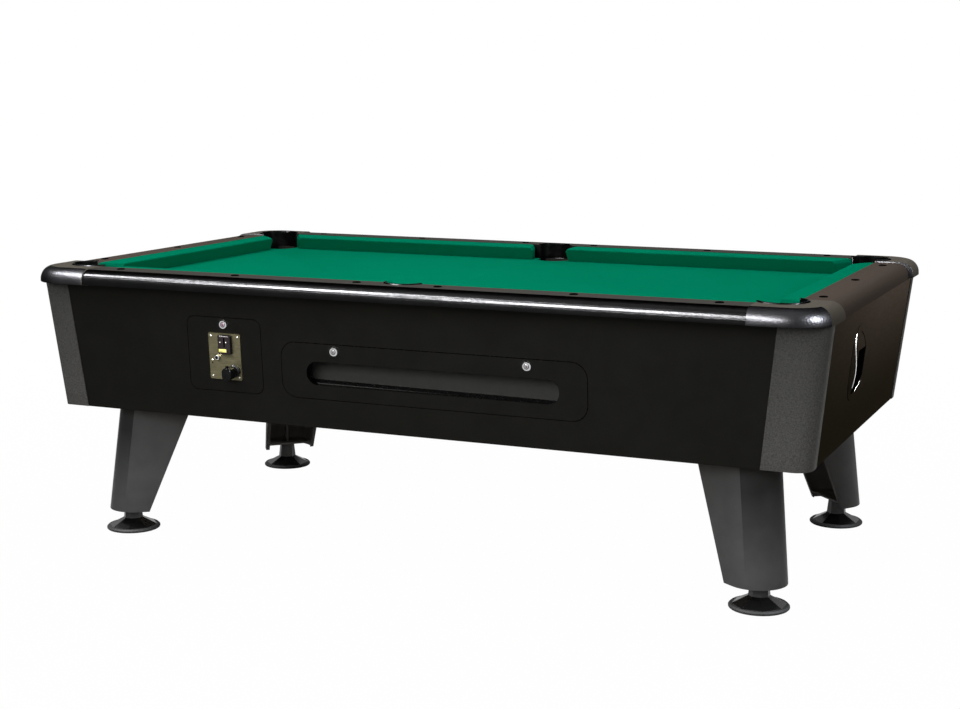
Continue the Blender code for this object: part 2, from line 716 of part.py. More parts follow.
def make_cabinet():
    long_panel = panel_outline(lambda z: half_length(z) - RIGHT_POST_RADIUS)
    end_panel = panel_outline(lambda z: half_width(z) - RIGHT_POST_RADIUS)
    side_face = TOP_Y - FACE_SETBACK
    end_face = TOP_X - FACE_SETBACK
    doors = [ball_door_outline(), coin_door_outline()]
    part(
        "front_panel",
        prism([long_panel] + doors, side_face - PANEL, side_face, FRONT @ lean(0, 1) @ ALONG_Y),
        BLACK_BOARD,
    )
    part(
        "rear_panel",
        prism([long_panel], side_face - PANEL, side_face, lean(0, 1) @ ALONG_Y),
        BLACK_BOARD,
    )
    upright = lean(0, END_LEAN / SIDE_LEAN) @ ALONG_Y
    part("left_end_panel", prism([end_panel], end_face - PANEL, end_face, LEFT @ upright), BLACK_BOARD)
    outlet = outlet_outline(OUTLET_WALL + RUNNING)
    holed = prism([end_panel, outlet], end_face - PANEL, end_face, RIGHT @ upright)
    part("right_end_panel", holed, BLACK_BOARD)

    base_x = inner_length(CABINET_LOW) - FIT
    base_y = inner_width(CABINET_LOW) - FIT
    part("base_board", block((-base_x, base_x), (-base_y, base_y), (CABINET_LOW, BASE_TOP)), PLYWOOD)

    high = SLATE_LOW - FIT
    low = high - FRAME_DEPTH
    bridge = high - FRAME_BRIDGE
    long_x = inner_length(low) - FIT
    long_y = inner_width(bridge) - FIT
    outer = POCKET_Y - CORNER_CUT - FRAME_RAIL_GAP
    middle = outer - FRAME_WIDTH / 2
    frame = part(
        "bed_frame",
        block((-long_x, long_x), (outer - FRAME_WIDTH, outer), (low, high)),
        PLYWOOD,
    )
    join(frame, block((-long_x, long_x), (-outer, FRAME_WIDTH - outer), (low, high)))
    for x in (-FRAME_BAR_X, FRAME_BAR_X - FRAME_WIDTH):
        bar = (x, x + FRAME_WIDTH)
        join(frame, block(bar, (-middle, middle), (low, high)), block(bar, (-long_y, long_y), (bridge, high)))


def make_posts():
    for word, corner in CORNERS.items():
        left = word.endswith("left")
        wing = LEFT_POST_WING if left else RIGHT_POST_WING
        radius = LEFT_POST_RADIUS if left else RIGHT_POST_RADIUS
        line = [(TOP_X, TOP_Y - END_POST_WING)]
        line += arc((TOP_X - radius, TOP_Y - radius), radius, 0, math.pi / 2, 8)
        line.append((TOP_X - wing, TOP_Y))
        sheet = prism([strip(line, POST_SHEET)], CABINET_LOW, CABINET_TOP, corner @ lean(1, 1))
        part(f"corner_post_{word}", sheet, GREY_SHEET)


# Doors, locks and coin fittings

def hinge_point(x):
    """Middle of the hinge line at the foot of a door."""
    z = SILL + DOOR_GAP / 2
    return (x, FACE_SETBACK - half_width(z), z)


def make_doors():
    face = TOP_Y - FACE_SETBACK
    upright = FRONT @ lean(0, 1) @ ALONG_Y
    slot = stadium((BALL_DOOR_X, SILL + SLOT_RISE), SLOT_LENGTH, SLOT_HEIGHT)
    lock_z = SILL + BALL_DOOR_HEIGHT - LOCK_DROP
    bore = LOCK_BARREL + DOOR_GAP
    locks = [circle((BALL_DOOR_X + side * LOCK_SPREAD / 2, lock_z), bore) for side in (-1, 1)]
    part(
        "ball_door",
        prism([ball_door_outline(DOOR_GAP), slot] + locks, face - PANEL, face, upright),
        BLACK_BOARD,
        hinge_point(BALL_DOOR_X),
    )
    lock = circle((COIN_DOOR_X, SILL + COIN_DOOR_HEIGHT - LOCK_DROP), bore)
    window_height = BEZEL_HEIGHT + 2 * (BEZEL_Z + DOOR_GAP)
    window = rounded(
        (COIN_DOOR_X + PLATE_X, SILL + PLATE_RISE),
        MECHANISM_WIDTH + 2 * DOOR_GAP, window_height, DOOR_GAP, 2,
    )
    part(
        "coin_door",
        prism([coin_door_outline(DOOR_GAP), window, lock], face - PANEL, face, upright),
        BLACK_BOARD,
        hinge_point(COIN_DOOR_X),
    )


def make_lock(name, x, z):
    """A cam lock. Its cam lies along the door, which is then free to open."""
    frame = front_frame(x, z)
    back = -PANEL - CAM_SETBACK
    profile = [
        (0, LOCK_PROUD), (LOCK_FLANGE - LOCK_EDGE, LOCK_PROUD), (LOCK_FLANGE, LOCK_PROUD - LOCK_EDGE),
        (LOCK_FLANGE, FIT), (LOCK_BARREL, FIT), (LOCK_BARREL, back), (0, back),
    ]
    lock = part(name, turned(profile, 24), CHROME)
    half = CAM_WIDTH / 2
    cam = [(0, -half), (CAM_LENGTH, -half), (CAM_LENGTH, half), (0, half)]
    join(lock, prism([cam], back - CAM_SHEET, back + CAM_SHEET / 3, frame))
    lock.matrix_world = frame


def make_locks():
    z = SILL + BALL_DOOR_HEIGHT - LOCK_DROP
    make_lock("ball_door_lock_left", BALL_DOOR_X - LOCK_SPREAD / 2, z)
    make_lock("ball_door_lock_right", BALL_DOOR_X + LOCK_SPREAD / 2, z)
    make_lock("coin_door_lock", COIN_DOOR_X, SILL + COIN_DOOR_HEIGHT - LOCK_DROP)


def plate_frame(x=0.0, z=0.0):
    """Frame on the coin door's face, placed from the middle of the coin plate."""
    return front_frame(COIN_DOOR_X + PLATE_X, SILL + PLATE_RISE) @ Matrix.Translation((x, z, 0))


def make_coin_fittings():
    on_plate = PLATE_SHEET + 2 * FIT
    bezel = (BEZEL_WIDTH, BEZEL_HEIGHT)
    cut_outs = [
        rounded((BEZEL_X, BEZEL_Z), bezel[0] + 2 * FIT, bezel[1] + 2 * FIT, BEZEL_CORNER, 3),
        circle((BUTTON_X, BUTTON_Z), BUTTON_RADIUS + RUNNING, 20),
        circle((KNOB_X, KNOB_Z), SHAFT_RADIUS + RUNNING, 20),
        circle((PLATE_HOLE_X, PLATE_HOLE_Z), PLATE_HOLE, 12),
    ]
    plate = rounded((0, 0), PLATE_WIDTH, PLATE_HEIGHT, PLATE_CORNER, 3)
    part("coin_plate", prism([plate] + cut_outs, FIT, FIT + PLATE_SHEET, plate_frame()), STEEL)

    body = rounded((0, 0), bezel[0], bezel[1], BEZEL_CORNER, 3)
    slot = stadium((0, COIN_SLOT_Z), COIN_SLOT_WIDTH, COIN_SLOT_HEIGHT, 4)
    part(
        "coin_entry_bezel",
        prism([body, slot], -BEZEL_DEPTH, PLATE_SHEET + BEZEL_PROUD, plate_frame(BEZEL_X, BEZEL_Z)),
        BLACK_PLASTIC,
    )

    crown = on_plate + BUTTON_PROUD
    profile = [
        (0, crown), (BUTTON_RADIUS - BUTTON_EDGE, crown), (BUTTON_RADIUS, crown - BUTTON_EDGE),
        (BUTTON_RADIUS, -BEZEL_DEPTH), (0, -BEZEL_DEPTH),
    ]
    button = part("return_button", turned(profile, 20), CHROME)
    button.matrix_world = plate_frame(BUTTON_X, BUTTON_Z)

    make_knob(on_plate)

    half = MECHANISM_WIDTH / 2
    high = MECHANISM_LOW + MECHANISM_HEIGHT
    back = -MECHANISM_DEPTH
    frame = plate_frame()
    mechanism = part(
        "coin_mechanism",
        block((-half, half), (MECHANISM_LOW, high), (back, 0), frame),
        ZINC,
    )
    foot = DOOR_GAP * 2 - PLATE_RISE
    chute = (RUNNING - half, CHUTE_WIDTH - half)
    span = (back * CHUTE_SPAN[0], back * CHUTE_SPAN[1])
    join(mechanism, block(chute, (foot, MECHANISM_LOW + RUNNING), span, frame))
    room = 2 * RUNNING
    recess = rounded((BEZEL_X, BEZEL_Z), bezel[0] + room, bezel[1] + room, BEZEL_CORNER, 3)
    well = circle((BUTTON_X, BUTTON_Z), BUTTON_RADIUS + RUNNING, 20)
    deep = -BEZEL_DEPTH - BUTTON_TRAVEL - RUNNING
    cut(
        mechanism,
        prism([recess], -BEZEL_DEPTH - RUNNING, CLOTH, frame),
        prism([well], deep, CLOTH, frame),
    )


def make_knob(on_plate):
    """The knob with its shaft, crank disc and crank pin, turning about its own Z."""
    frame = plate_frame(KNOB_X, KNOB_Z)
    flange = on_plate + KNOB_FLANGE
    grip = on_plate + KNOB_GRIP_START
    end = on_plate + KNOB_REACH
    crank = -CRANK_DEPTH
    profile = [
        (0, grip + FIT), (KNOB_NECK, grip + FIT), (KNOB_NECK, flange), (KNOB_RADIUS - KNOB_EDGE, flange),
        (KNOB_RADIUS, flange - KNOB_EDGE), (KNOB_RADIUS, on_plate), (SHAFT_RADIUS, on_plate),
        (SHAFT_RADIUS, crank + CRANK_SHEET), (CRANK_RADIUS, crank + CRANK_SHEET),
        (CRANK_RADIUS, crank), (0, crank),
    ]
    knob = part("coin_knob", turned(profile, 28), BLACK_PLASTIC)
    rings = []
    for inset, z in ((0, grip), (0, end - KNOB_EDGE), (KNOB_EDGE / 2, end)):
        width = KNOB_GRIP_WIDTH - 2 * inset
        height = KNOB_GRIP_HEIGHT - 2 * inset
        rings.append([(x, y, z) for x, y in rounded((0, 0), width, height, KNOB_CORNER - inset)])
    tip = KNOB_GRIP_HEIGHT / 2
    half = KNOB_POINTER / 2
    span = (end - KNOB_POINTER_SPAN[0], end - KNOB_POINTER_SPAN[1])
    pin = Matrix.Rotation(math.pi / 4, 4, "Z") @ Matrix.Translation((CRANK_THROW, 0, 0))
    join(
        knob,
        settled(loft(rings), frame),
        block((-half, half), (tip - half, tip + KNOB_POINTER), span, frame),
        rod(PIN_RADIUS, crank - PIN_LENGTH, crank + CRANK_SHEET / 2, 16, frame @ pin),
    )
    knob.matrix_world = frame


# Ball path

def tray_left():
    return COLLECTOR_X + BALL_ROOM / 2 + SHEET + FIT


def tray_front():
    """Inside front face of the tray, close behind the ball door."""
    low = CABINET_TOP - TRAY_DROP - SHEET - TRAY_FALL
    return SHEET + 2 * RUNNING - inner_width(low)


def tray_floor(x):
    return CABINET_TOP - TRAY_DROP - TRAY_FALL * (x - tray_left())


def collector_floor(y):
    return tray_floor(tray_left()) + 4 * SHEET + COLLECTOR_FALL * (y - tray_front())


def stand(x, y, top):
    """An upright from the base board to a trough, let into it by a little."""
    reach = STAND / 2
    return block((x - reach, x + reach), (y - reach, y + reach), (BASE_TOP + FIT, top - SHEET / 2))


def gully_floor(x):
    return CABINET_TOP - GULLY_DROP + GULLY_FALL * abs(x - COLLECTOR_X)


def apron(x, start, side):
    """A sloping plate under a pocket, from the panel down into the gully."""
    edge = LINER_LOW - 2 * SHEET
    panel = inner_width(edge - SHEET) - FIT
    wall = gully_floor(x) + GULLY_WALL
    section = [(start, wall - 1.5 * SHEET), (panel, edge - SHEET), (panel, edge), (start, wall - SHEET / 2)]
    return prism([section], x - BALL_ROOM / 2, x + BALL_ROOM / 2, side @ ALONG_X)


def make_gullies():
    lowest = gully_floor(COLLECTOR_X)
    end = inner_length(lowest - SHEET) - FIT
    outer = inner_width(lowest) - GULLY_OUTER - SHEET
    inner = outer - GULLY_WIDTH
    hole = BALL_ROOM / 2
    for word, side in (("front", FRONT), ("rear", REAR)):
        rings = []
        for x in (-end, COLLECTOR_X, end):
            section = trough(outer, inner, gully_floor(x), GULLY_WALL, SHEET)
            rings.append([(x, y, z) for y, z in section])
        gully = part(f"ball_gully_{word}", settled(loft(rings), side), GREY_PLASTIC)
        for x in (-GULLY_BRACKET_X, GULLY_BRACKET_X):
            low = gully_floor(x) - SHEET / 2
            reach = inner_width(low) - FIT
            width = (x - BRACKET_WIDTH / 2, x + BRACKET_WIDTH / 2)
            join(gully, block(width, (outer + SHEET / 2, reach), (low, low + BRACKET_WIDTH / 2), side))
        for x in (-POCKET_X, 0, POCKET_X):
            join(gully, apron(x, outer + SHEET / 3, side))
        hole_x = (COLLECTOR_X - hole, COLLECTOR_X + hole)
        hole_y = ((outer + inner) / 2 - hole, (outer + inner) / 2 + hole)
        cut(gully, block(hole_x, hole_y, (lowest - 2 * SHEET, lowest + SHEET), side))


def separator(reach):
    """A slanting bridge over the collector that turns the cue ball aside to its own chute."""
    along = reach + SHEET / 2
    back = reach + 3 * SHEET
    half = math.hypot(along, back) + SHEET
    foot = COLLECTOR_WALL - 2 * SHEET
    top = SEPARATOR_CLEAR + SEPARATOR_HEIGHT
    leg = half - 2 * SHEET
    bridge = [
        (-half, foot), (-leg, foot), (-leg, SEPARATOR_CLEAR), (leg, SEPARATOR_CLEAR),
        (leg, foot), (half, foot), (half, top), (-half, top),
    ]
    place = Matrix.Translation((COLLECTOR_X, OUTLET_Y, collector_floor(OUTLET_Y)))
    turn = Matrix.Rotation(-math.atan2(back, along), 4, "Z")
    return prism([bridge], -SHEET / 2, SHEET / 2, place @ turn @ ALONG_Y)


def make_collector():
    front = tray_front()
    back = inner_width(gully_floor(COLLECTOR_X)) - GULLY_OUTER
    reach = BALL_ROOM / 2
    rings = []
    for y in (front, back):
        section = trough(COLLECTOR_X - reach, COLLECTOR_X + reach, collector_floor(y), COLLECTOR_WALL, SHEET)
        rings.append([(x, y, z) for x, z in section])
    collector = part("ball_collector", loft(rings), GREY_PLASTIC)
    right = COLLECTOR_X + reach
    floor = collector_floor(front)
    walls = (COLLECTOR_X - reach - SHEET, COLLECTOR_X + reach + SHEET)
    join(
        collector,
        block(walls, (front - SHEET / 2, front + SHEET), (floor - SHEET, floor + COLLECTOR_WALL)),
        stand(COLLECTOR_X, back - BALL_ROOM, collector_floor(back - BALL_ROOM)),
        stand(COLLECTOR_X, -STAND, collector_floor(-STAND)),
    )
    join(collector, separator(reach))
    y = rod_line()
    left = COLLECTOR_X - reach - SHEET
    guide = (left - ROD_GUIDE + SHEET, left + SHEET / 2)
    low = collector_floor(y)
    room = (y - 2 * ROD_RADIUS, y + 2 * ROD_RADIUS)
    join(collector, block(guide, room, (low, rod_height() + 3 * ROD_RADIUS)))
    along = Matrix.Translation((0, y, rod_height())) @ Matrix.Rotation(math.pi / 2, 4, "Y")
    gate = (front + 2 * SHEET, front + TRAY_ROOM - SHEET)
    cue = (OUTLET_Y - reach, OUTLET_Y + reach)
    cut(
        collector,
        rod(ROD_RADIUS + RUNNING, guide[0] - SHEET, guide[1] + SHEET, 16, along),
        block((right - SHEET, right + 2 * SHEET), gate, (floor + SHEET * 2, floor + BALL_ROOM)),
        block(
            (right - SHEET, right + 2 * SHEET), cue,
            (collector_floor(cue[1]) + SHEET / 2, collector_floor(cue[1]) + BALL_ROOM),
        ),
    )


def make_tray():
    left = tray_left()
    right = BALL_DOOR_X + SLOT_LENGTH / 2 + TRAY_END
    front = tray_front()
    back = front + TRAY_ROOM
    rings = []
    for x in (left, right):
        floor = tray_floor(x)
        section = [
            (front - SHEET, floor + TRAY_LIP), (front - SHEET, floor - SHEET), (back + SHEET, floor - SHEET),
            (back + SHEET, floor + TRAY_WALL), (back, floor + TRAY_WALL), (back, floor), (front, floor),
            (front, floor + TRAY_LIP),
        ]
        rings.append([(x, y, z) for y, z in section])
    tray = part("ball_tray", loft(rings), GREY_PLASTIC)
    pivot = tray_floor(left) + GATE_RISE
    cheek = (left, left + CHEEK_LENGTH)
    high = pivot + 3 * PIVOT_RADIUS
    floor = tray_floor(right)
    behind = back - STAND / 2
    stop = (right - SHEET, right + SHEET / 2)
    join(
        tray,
        block(cheek, (front - SHEET, front), (tray_floor(left) - SHEET / 2, high)),
        block(cheek, (back, back + SHEET), (tray_floor(left) - SHEET / 2, high)),
        block(stop, (front - SHEET, back + SHEET), (floor - SHEET, floor + TRAY_WALL / 2)),
        stand(left + STAND, behind, tray_floor(left + STAND)),
        stand(BALL_DOOR_X, behind, tray_floor(BALL_DOOR_X)),
        stand(right - STAND, behind, tray_floor(right - STAND)),
    )
    place = Matrix.Translation((left + GATE_INSET, 0, pivot)) @ Matrix.Rotation(math.pi / 2, 4, "X")
    cut(tray, rod(PIVOT_RADIUS + RUNNING, -back - 2 * SHEET, 2 * SHEET - front, 16, place))


def rod_line():
    """Y of the pull rod, clear of the arm on the release gate."""
    return tray_front() + TRAY_ROOM + SHEET + 2 * LINK_GAP + GATE_SHEET + ROD_RADIUS


def rod_height():
    return tray_floor(tray_left()) + GATE_RISE + ROD_RISE


def make_gate():
    x = tray_left() + GATE_INSET
    front = tray_front()
    back = front + TRAY_ROOM
    floor = tray_floor(x)
    pivot = tray_floor(tray_left()) + GATE_RISE
    half = GATE_SHEET / 2
    arm = back + SHEET + LINK_GAP
    place = Matrix.Translation((x, 0, pivot)) @ Matrix.Rotation(math.pi / 2, 4, "X")
    axle = rod(PIVOT_RADIUS, -arm - GATE_SHEET / 2, RUNNING + SHEET / 2 - front, 16, place)
    gate = part("release_gate", axle, STEEL, (x, (front + back) / 2, pivot))
    join(
        gate,
        block((x - half, x + half), (front + LINK_GAP, back - LINK_GAP), (floor + 2 * TRAY_LIP, pivot)),
        block((x - half, x + half), (arm, arm + GATE_SHEET), (pivot - PIVOT_RADIUS * BOSS, pivot + GATE_ARM)),
    )


def make_pull_rod():
    y = rod_line()
    z = rod_height()
    pin = plate_frame(KNOB_X, KNOB_Z).translation.x + CRANK_THROW * math.sqrt(0.5)
    yoke = pin - PIN_RADIUS - LINK_GAP
    peg = tray_left() + GATE_INSET + GATE_SHEET / 2 + LINK_GAP + PIN_RADIUS
    along = Matrix.Translation((0, y, z)) @ Matrix.Rotation(math.pi / 2, 4, "Y")
    bar = rod(ROD_RADIUS, yoke - GATE_SHEET / 2, peg + 2 * PIN_RADIUS, 16, along)
    piece = part("pull_rod", bar, STEEL, (yoke, y, z))
    near = y - ROD_RADIUS - LINK_GAP - GATE_SHEET
    far = y + ROD_RADIUS * BOSS
    across = Matrix.Translation((peg, 0, z)) @ Matrix.Rotation(math.pi / 2, 4, "X")
    join(
        piece,
        block((yoke - GATE_SHEET, yoke), (near, far), (z - YOKE_DROP, z + ROD_RADIUS * BOSS)),
        rod(PIN_RADIUS, -y, -near, 12, across),
    )


def make_cue_chute():
    left = tray_left()
    z = CABINET_TOP - OUTLET_DROP
    right = half_length(z - OUTLET_HEIGHT / 2) - FACE_SETBACK - OUTLET_DEPTH - 2 * RUNNING
    top = collector_floor(OUTLET_Y) - CUE_CHUTE_STEP
    reach = BALL_ROOM / 2
    rings = []
    for x in (left, right):
        floor = top - CUE_CHUTE_FALL * (x - left)
        section = trough(OUTLET_Y - reach, OUTLET_Y + reach, floor, CUE_CHUTE_WALL, SHEET)
        rings.append([(x, y, z) for y, z in section])
    chute = part("cue_ball_chute", loft(rings), GREY_PLASTIC)
    for x in (left + 4 * STAND, right - 4 * STAND):
        join(chute, stand(x, OUTLET_Y, top - CUE_CHUTE_FALL * (x - left)))


def outlet_outline(grow):
    """Outlet opening in the right end, as Y and Z, made larger all round by this much."""
    middle = (OUTLET_Y, CABINET_TOP - OUTLET_DROP)
    return stadium(middle, OUTLET_WIDTH + 2 * grow, OUTLET_HEIGHT + 2 * grow)


def outlet_ring(grow, out, share):
    """One ring of the outlet's bezel, with this share of the lip added to it."""
    face = TOP_X - FACE_SETBACK
    middle = CABINET_TOP - OUTLET_DROP
    ring = []
    for y, z in outlet_outline(grow):
        off = (z - middle) / (OUTLET_HEIGHT / 2 + grow)
        ring.append((y, z, face + out + share * OUTLET_LIP * (1 - off ** 2)))
    return ring


def make_outlet():
    """A sleeve through the panel with a lip that stands out furthest at half its height."""
    rings = [
        outlet_ring(0, -OUTLET_DEPTH, 0),
        outlet_ring(0, OUTLET_PROUD, OUTLET_ROUND),
        outlet_ring(OUTLET_CREST / 2, OUTLET_PROUD, 1),
        outlet_ring(OUTLET_CREST, OUTLET_PROUD, OUTLET_ROUND),
        outlet_ring(OUTLET_FLANGE, OUTLET_PROUD, 0),
        outlet_ring(OUTLET_FLANGE, FIT, 0),
        outlet_ring(OUTLET_WALL, FIT, 0),
        outlet_ring(OUTLET_WALL, -OUTLET_DEPTH, 0),
    ]
    across = RIGHT @ lean(0, END_LEAN / SIDE_LEAN) @ ALONG_Y
    part("outlet_bezel", settled(loft(rings, True), across), BLACK_PLASTIC)


def make_cash_box():
    front = CASH_FRONT - inner_width(BASE_TOP)
    x = (CASH_X - CASH_LENGTH / 2, CASH_X + CASH_LENGTH / 2)
    y = (front, front + CASH_WIDTH)
    z = (BASE_TOP + FIT, BASE_TOP + FIT + CASH_HEIGHT)
    box = part("cash_box", block(x, y, z), ZINC)
    inside = 2 * SHEET / 3
    cut(box, block(
        (x[0] + inside, x[1] - inside), (y[0] + inside, y[1] - inside), (z[0] + inside, z[1] + inside),
    ))


# Legs and feet

def leg_line(z, flange=True):
    """Line of the bent sheet at one height: a round nose with a wing either side."""
    rise = (z - LEG_LOW) / (CABINET_LOW - LEG_LOW)
    x = FOOT_X - LEG_SHIFT[0] - LEG_SPLAY[0] * rise
    y = FOOT_Y - LEG_SHIFT[1] - LEG_SPLAY[1] * rise
    wing = LEG_WING_LOW + (LEG_WING_HIGH - LEG_WING_LOW) * rise
    sine = math.sin(LEG_TURN)
    cosine = math.cos(LEG_TURN)
    bend = arc((x, y), LEG_BEND, -LEG_TURN, math.pi / 2 + LEG_TURN, 16)
    first = (bend[0][0] - wing * sine, bend[0][1] - wing * cosine)
    last = (bend[-1][0] - wing * cosine, bend[-1][1] - wing * sine)
    line = [first] + bend + [last]
    if flange:
        start = (first[0] - LEG_FLANGE * cosine, first[1] + LEG_FLANGE * sine)
        end = (last[0] + LEG_FLANGE * sine, last[1] - LEG_FLANGE * cosine)
        line = [start] + line + [end]
    return line


def make_leg(word, corner):
    top = CABINET_LOW - FIT
    rings = []
    for z in (LEG_LOW, top):
        rings.append([(x, y, z) for x, y in strip(leg_line(z), LEG_SHEET)])
    leg = part(f"leg_{word}", settled(loft(rings), corner), LEG_GREY)
    half = LEG_SHEET / 2
    under = top - FIT
    head = strip(leg_line(under - LEG_PLATE, False), half)[len(leg_line(top, False)):]
    nut = FOOT_STEM_TOP + 2 * RUNNING
    seat = strip(leg_line(nut, False), half)[len(leg_line(nut, False)):]
    hole = circle((FOOT_X, FOOT_Y), SHANK_RADIUS + RUNNING, 20)
    join(
        leg,
        prism([head], under - LEG_PLATE, under, corner),
        prism([seat, hole], nut, nut + LEG_PLATE, corner),
    )


def make_foot(word, corner):
    profile = [
        (0, FOOT_RIM), (FOOT_RADIUS - FOOT_EDGE, FOOT_RIM), (FOOT_RADIUS, FOOT_RIM - FOOT_EDGE),
        (FOOT_RADIUS, FOOT_CHAMFER), (FOOT_RADIUS - FOOT_CHAMFER, 0), (0, 0),
    ]
    place = corner @ Matrix.Translation((FOOT_X, FOOT_Y, 0))
    middle = place.translation
    foot = part(f"levelling_foot_{word}", turned(profile, 32, place), BLACK_PLASTIC, middle)
    cone = [
        (FOOT_CONE, FOOT_RIM / 2), (FOOT_CONE, FOOT_RIM), (FOOT_NECK, FOOT_NECK_Z), (FOOT_STEM, FOOT_STEM_TOP),
    ]
    turn = math.pi / 8
    facets = []
    for radius, z in cone:
        facets.append([(x, y, z) for x, y in arc((0, 0), radius, turn, turn + 2 * math.pi, 8)[:-1]])
    join(
        foot,
        settled(loft(facets), place),
        rod(SHANK_RADIUS, FOOT_STEM_TOP - FOOT_RIM, FOOT_STEM_TOP + SHANK_LENGTH, 20, place),
    )


# The whole table

for old in list(bpy.data.objects):
    bpy.data.objects.remove(old)

PARTS = bpy.data.collections.new("coin_operated_pool_table")
TOOLS = bpy.data.collections.new("cutting_tools")
bpy.context.scene.collection.children.link(PARTS)
bpy.context.scene.collection.children.link(TOOLS)

make_bed()
make_cushions()
make_rails()
make_castings()
make_liners()
make_cabinet()
make_posts()
make_doors()
make_locks()
make_coin_fittings()
make_gullies()
make_collector()
make_tray()
make_gate()
make_pull_rod()
make_cue_chute()
make_outlet()
make_cash_box()
for word, corner in CORNERS.items():
    make_leg(word, corner)
    make_foot(word, corner)
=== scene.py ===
"""Looks of the coin-operated pool table: cloth, cushions, trim, finishes, floor, light and camera.

Lengths are in metres, powers in watts, and colours are linear.
"""

import json
import math

import bmesh
import bpy
from mathutils import Matrix, Vector, noise


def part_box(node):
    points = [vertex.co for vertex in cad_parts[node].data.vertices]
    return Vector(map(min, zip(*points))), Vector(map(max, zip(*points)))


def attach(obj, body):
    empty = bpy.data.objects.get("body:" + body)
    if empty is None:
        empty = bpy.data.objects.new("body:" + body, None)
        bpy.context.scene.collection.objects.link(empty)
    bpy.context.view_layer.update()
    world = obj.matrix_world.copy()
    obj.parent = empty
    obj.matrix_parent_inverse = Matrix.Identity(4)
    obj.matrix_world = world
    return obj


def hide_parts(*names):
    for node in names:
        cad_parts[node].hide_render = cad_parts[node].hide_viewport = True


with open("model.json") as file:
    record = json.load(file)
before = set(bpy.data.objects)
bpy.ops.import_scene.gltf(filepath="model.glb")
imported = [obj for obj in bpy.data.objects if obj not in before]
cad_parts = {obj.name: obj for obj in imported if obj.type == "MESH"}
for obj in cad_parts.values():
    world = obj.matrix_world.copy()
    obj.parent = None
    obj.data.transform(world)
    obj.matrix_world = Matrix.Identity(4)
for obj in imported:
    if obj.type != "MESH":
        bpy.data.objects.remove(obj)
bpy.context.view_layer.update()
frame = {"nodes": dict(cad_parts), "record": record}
NODES = frame["nodes"]
COLLECTION = bpy.context.scene.collection
UP = Vector((0, 0, 1))
FORWARD = Vector((0, -1, 0))
SIDEWAYS = Vector((1, 0, 0))
MERGE = 0.00001            # points closer than this are one

# Camera, as the photograph was taken
CAMERA_PLACE = Vector((2.0076, -4.5718, 1.3487))
CAMERA_AIM = Vector((-0.4003, 0.9016, -0.1631))
CAMERA_LENS = 63.50        # in millimetres, like the sensor
CAMERA_SENSOR = 36.0

# Playing field, from its middle to the noses of the cushions
FIELD_X = 0.9905
FIELD_Y = 0.4953

# Cushions
CORNER_JAW = 0.042         # how far the back of a cushion runs past its nose tip at a corner
SIDE_JAW = 0.013           # how far it falls short of it at a middle pocket
NOSE_RADIUS = 0.004
NOSE_DROP = 0.0067         # middle of the nose below the back edge of the cushion
NOSE_ARC = (212, 100)      # from the face round to the top, in degrees
NOSE_STEPS = 8
UNDERCUT = 0.016           # foot of the cushion behind its nose
FACE_STEPS = 8
CROWN = 0.0007             # swell of the covered top
TOP_STEPS = 12
TUCK = 0.0013              # how far the cloth dips where it is tucked in at the rail
TUCK_WIDTH = 0.0035
BACK_STEPS = 4
UNDER_STEPS = 6
EDGE_ROUND = 0.0022        # round of the cloth over the jaws
EDGE_SHARES = (0.0, 0.35, 0.7, 1.0)
JAW_ROLL = 0.008           # how far back from a jaw the cloth is drawn down over it
ROLL_STEPS = 6
CUSHION_STEPS = 30
RIPPLE_HEIGHT = 0.00022    # faint unevenness of the covered top
RIPPLES = 22               # to the metre
CUSHION_CREASE = 50        # sharper edges than this, in degrees, are shaded sharp

# Bed cloth
CORNER_CUT_OUT = 0.0295    # middle of a corner pocket outside the corner of the field
SIDE_CUT_OUT = 0.0475      # middle of a middle pocket outside the side of the field
CLOTH_BEND = 0.0015        # drop of the cloth's bend over the edge of the slate
CLOTH_TURN = 0.0008        # how far the turned-down cloth stands inside that edge
CLOTH_FLAP = 0.0055        # how far it hangs down
BEND_ANGLES = (0.4, 0.8, 1.2, math.pi / 2)
UPPER_FACE = 0.9           # how squarely a face looks up to count as the cloth's top
FLAT_ANGLE = 0.01
RIM_MARGIN = 0.001         # edges closer than this to the sides don't belong to a pocket
CLOTH_CREASE = 60

# Long rails, castings, legs, liners and doors
STRIP_EDGE = 0.6279        # flat top of a long rail, up to its groove
LEVEL = 0.99               # how squarely a face looks up to count as a flat top
CASTING_END_TURN = 0.93    # how squarely a face looks along the table to count as the casting's end, which gets the painted reflection
LEG_TURN = 0.12            # how far a face of a leg's nose may turn back towards the table's middle
LINER_TOP = 0.2            # how far a face of a liner looks up to count as rubbed
SLOT_WALL = 0.5            # how far a face may look forward to count as a wall of the ball slot, which gets black as painted shade
EDGE_BEVEL = 0.0010
BEVEL_STEPS = 2
BEVEL_ANGLE = 40
BEVEL_CREASE = 35
BEVELLED = ("corner_casting", "corner_post", "leg_", "end_rail")

# Heights between which painted light turns the end boards paler, and painted shade turns the corner posts
# and legs darker
END_LIGHT_FADE = (0.42, 0.75)
END_LIGHT_REACH = (-0.55, 0.10)  # the painted light also turns the boards paler from the front to the rear
END_LIGHT_NEAR = 0.4             # how much of that painted light they have at the front
POST_SHADE_FADE = (0.44, 0.76)
POST_SHADE_DEPTH = 0.55            # how far a post goes towards its painted shade colour
WING_SHADE_FADE = (0.17, 0.40)
NOSE_SHADE_FADE = (0.10, 0.31)

# Levelling feet: heights of the rubber rim and of the foot of the stem, and how softly they meet
FOOT_RIM = 0.0102
FOOT_RIM_SOFT = 0.0002
FOOT_NECK = 0.0335
FOOT_NECK_SOFT = 0.0005

# Rail caps
CAP_RADIUS = 0.0115
CAP_HEIGHT = 0.0026
CAP_DIMPLE = 0.004
CAP_SIDES = 28
LONG_CAPS = (0.12, 0.50, 0.88)
END_CAPS = (-0.385, 0.0, 0.385)
CAP_LINE = 0.039           # from the cushion's side of the rail

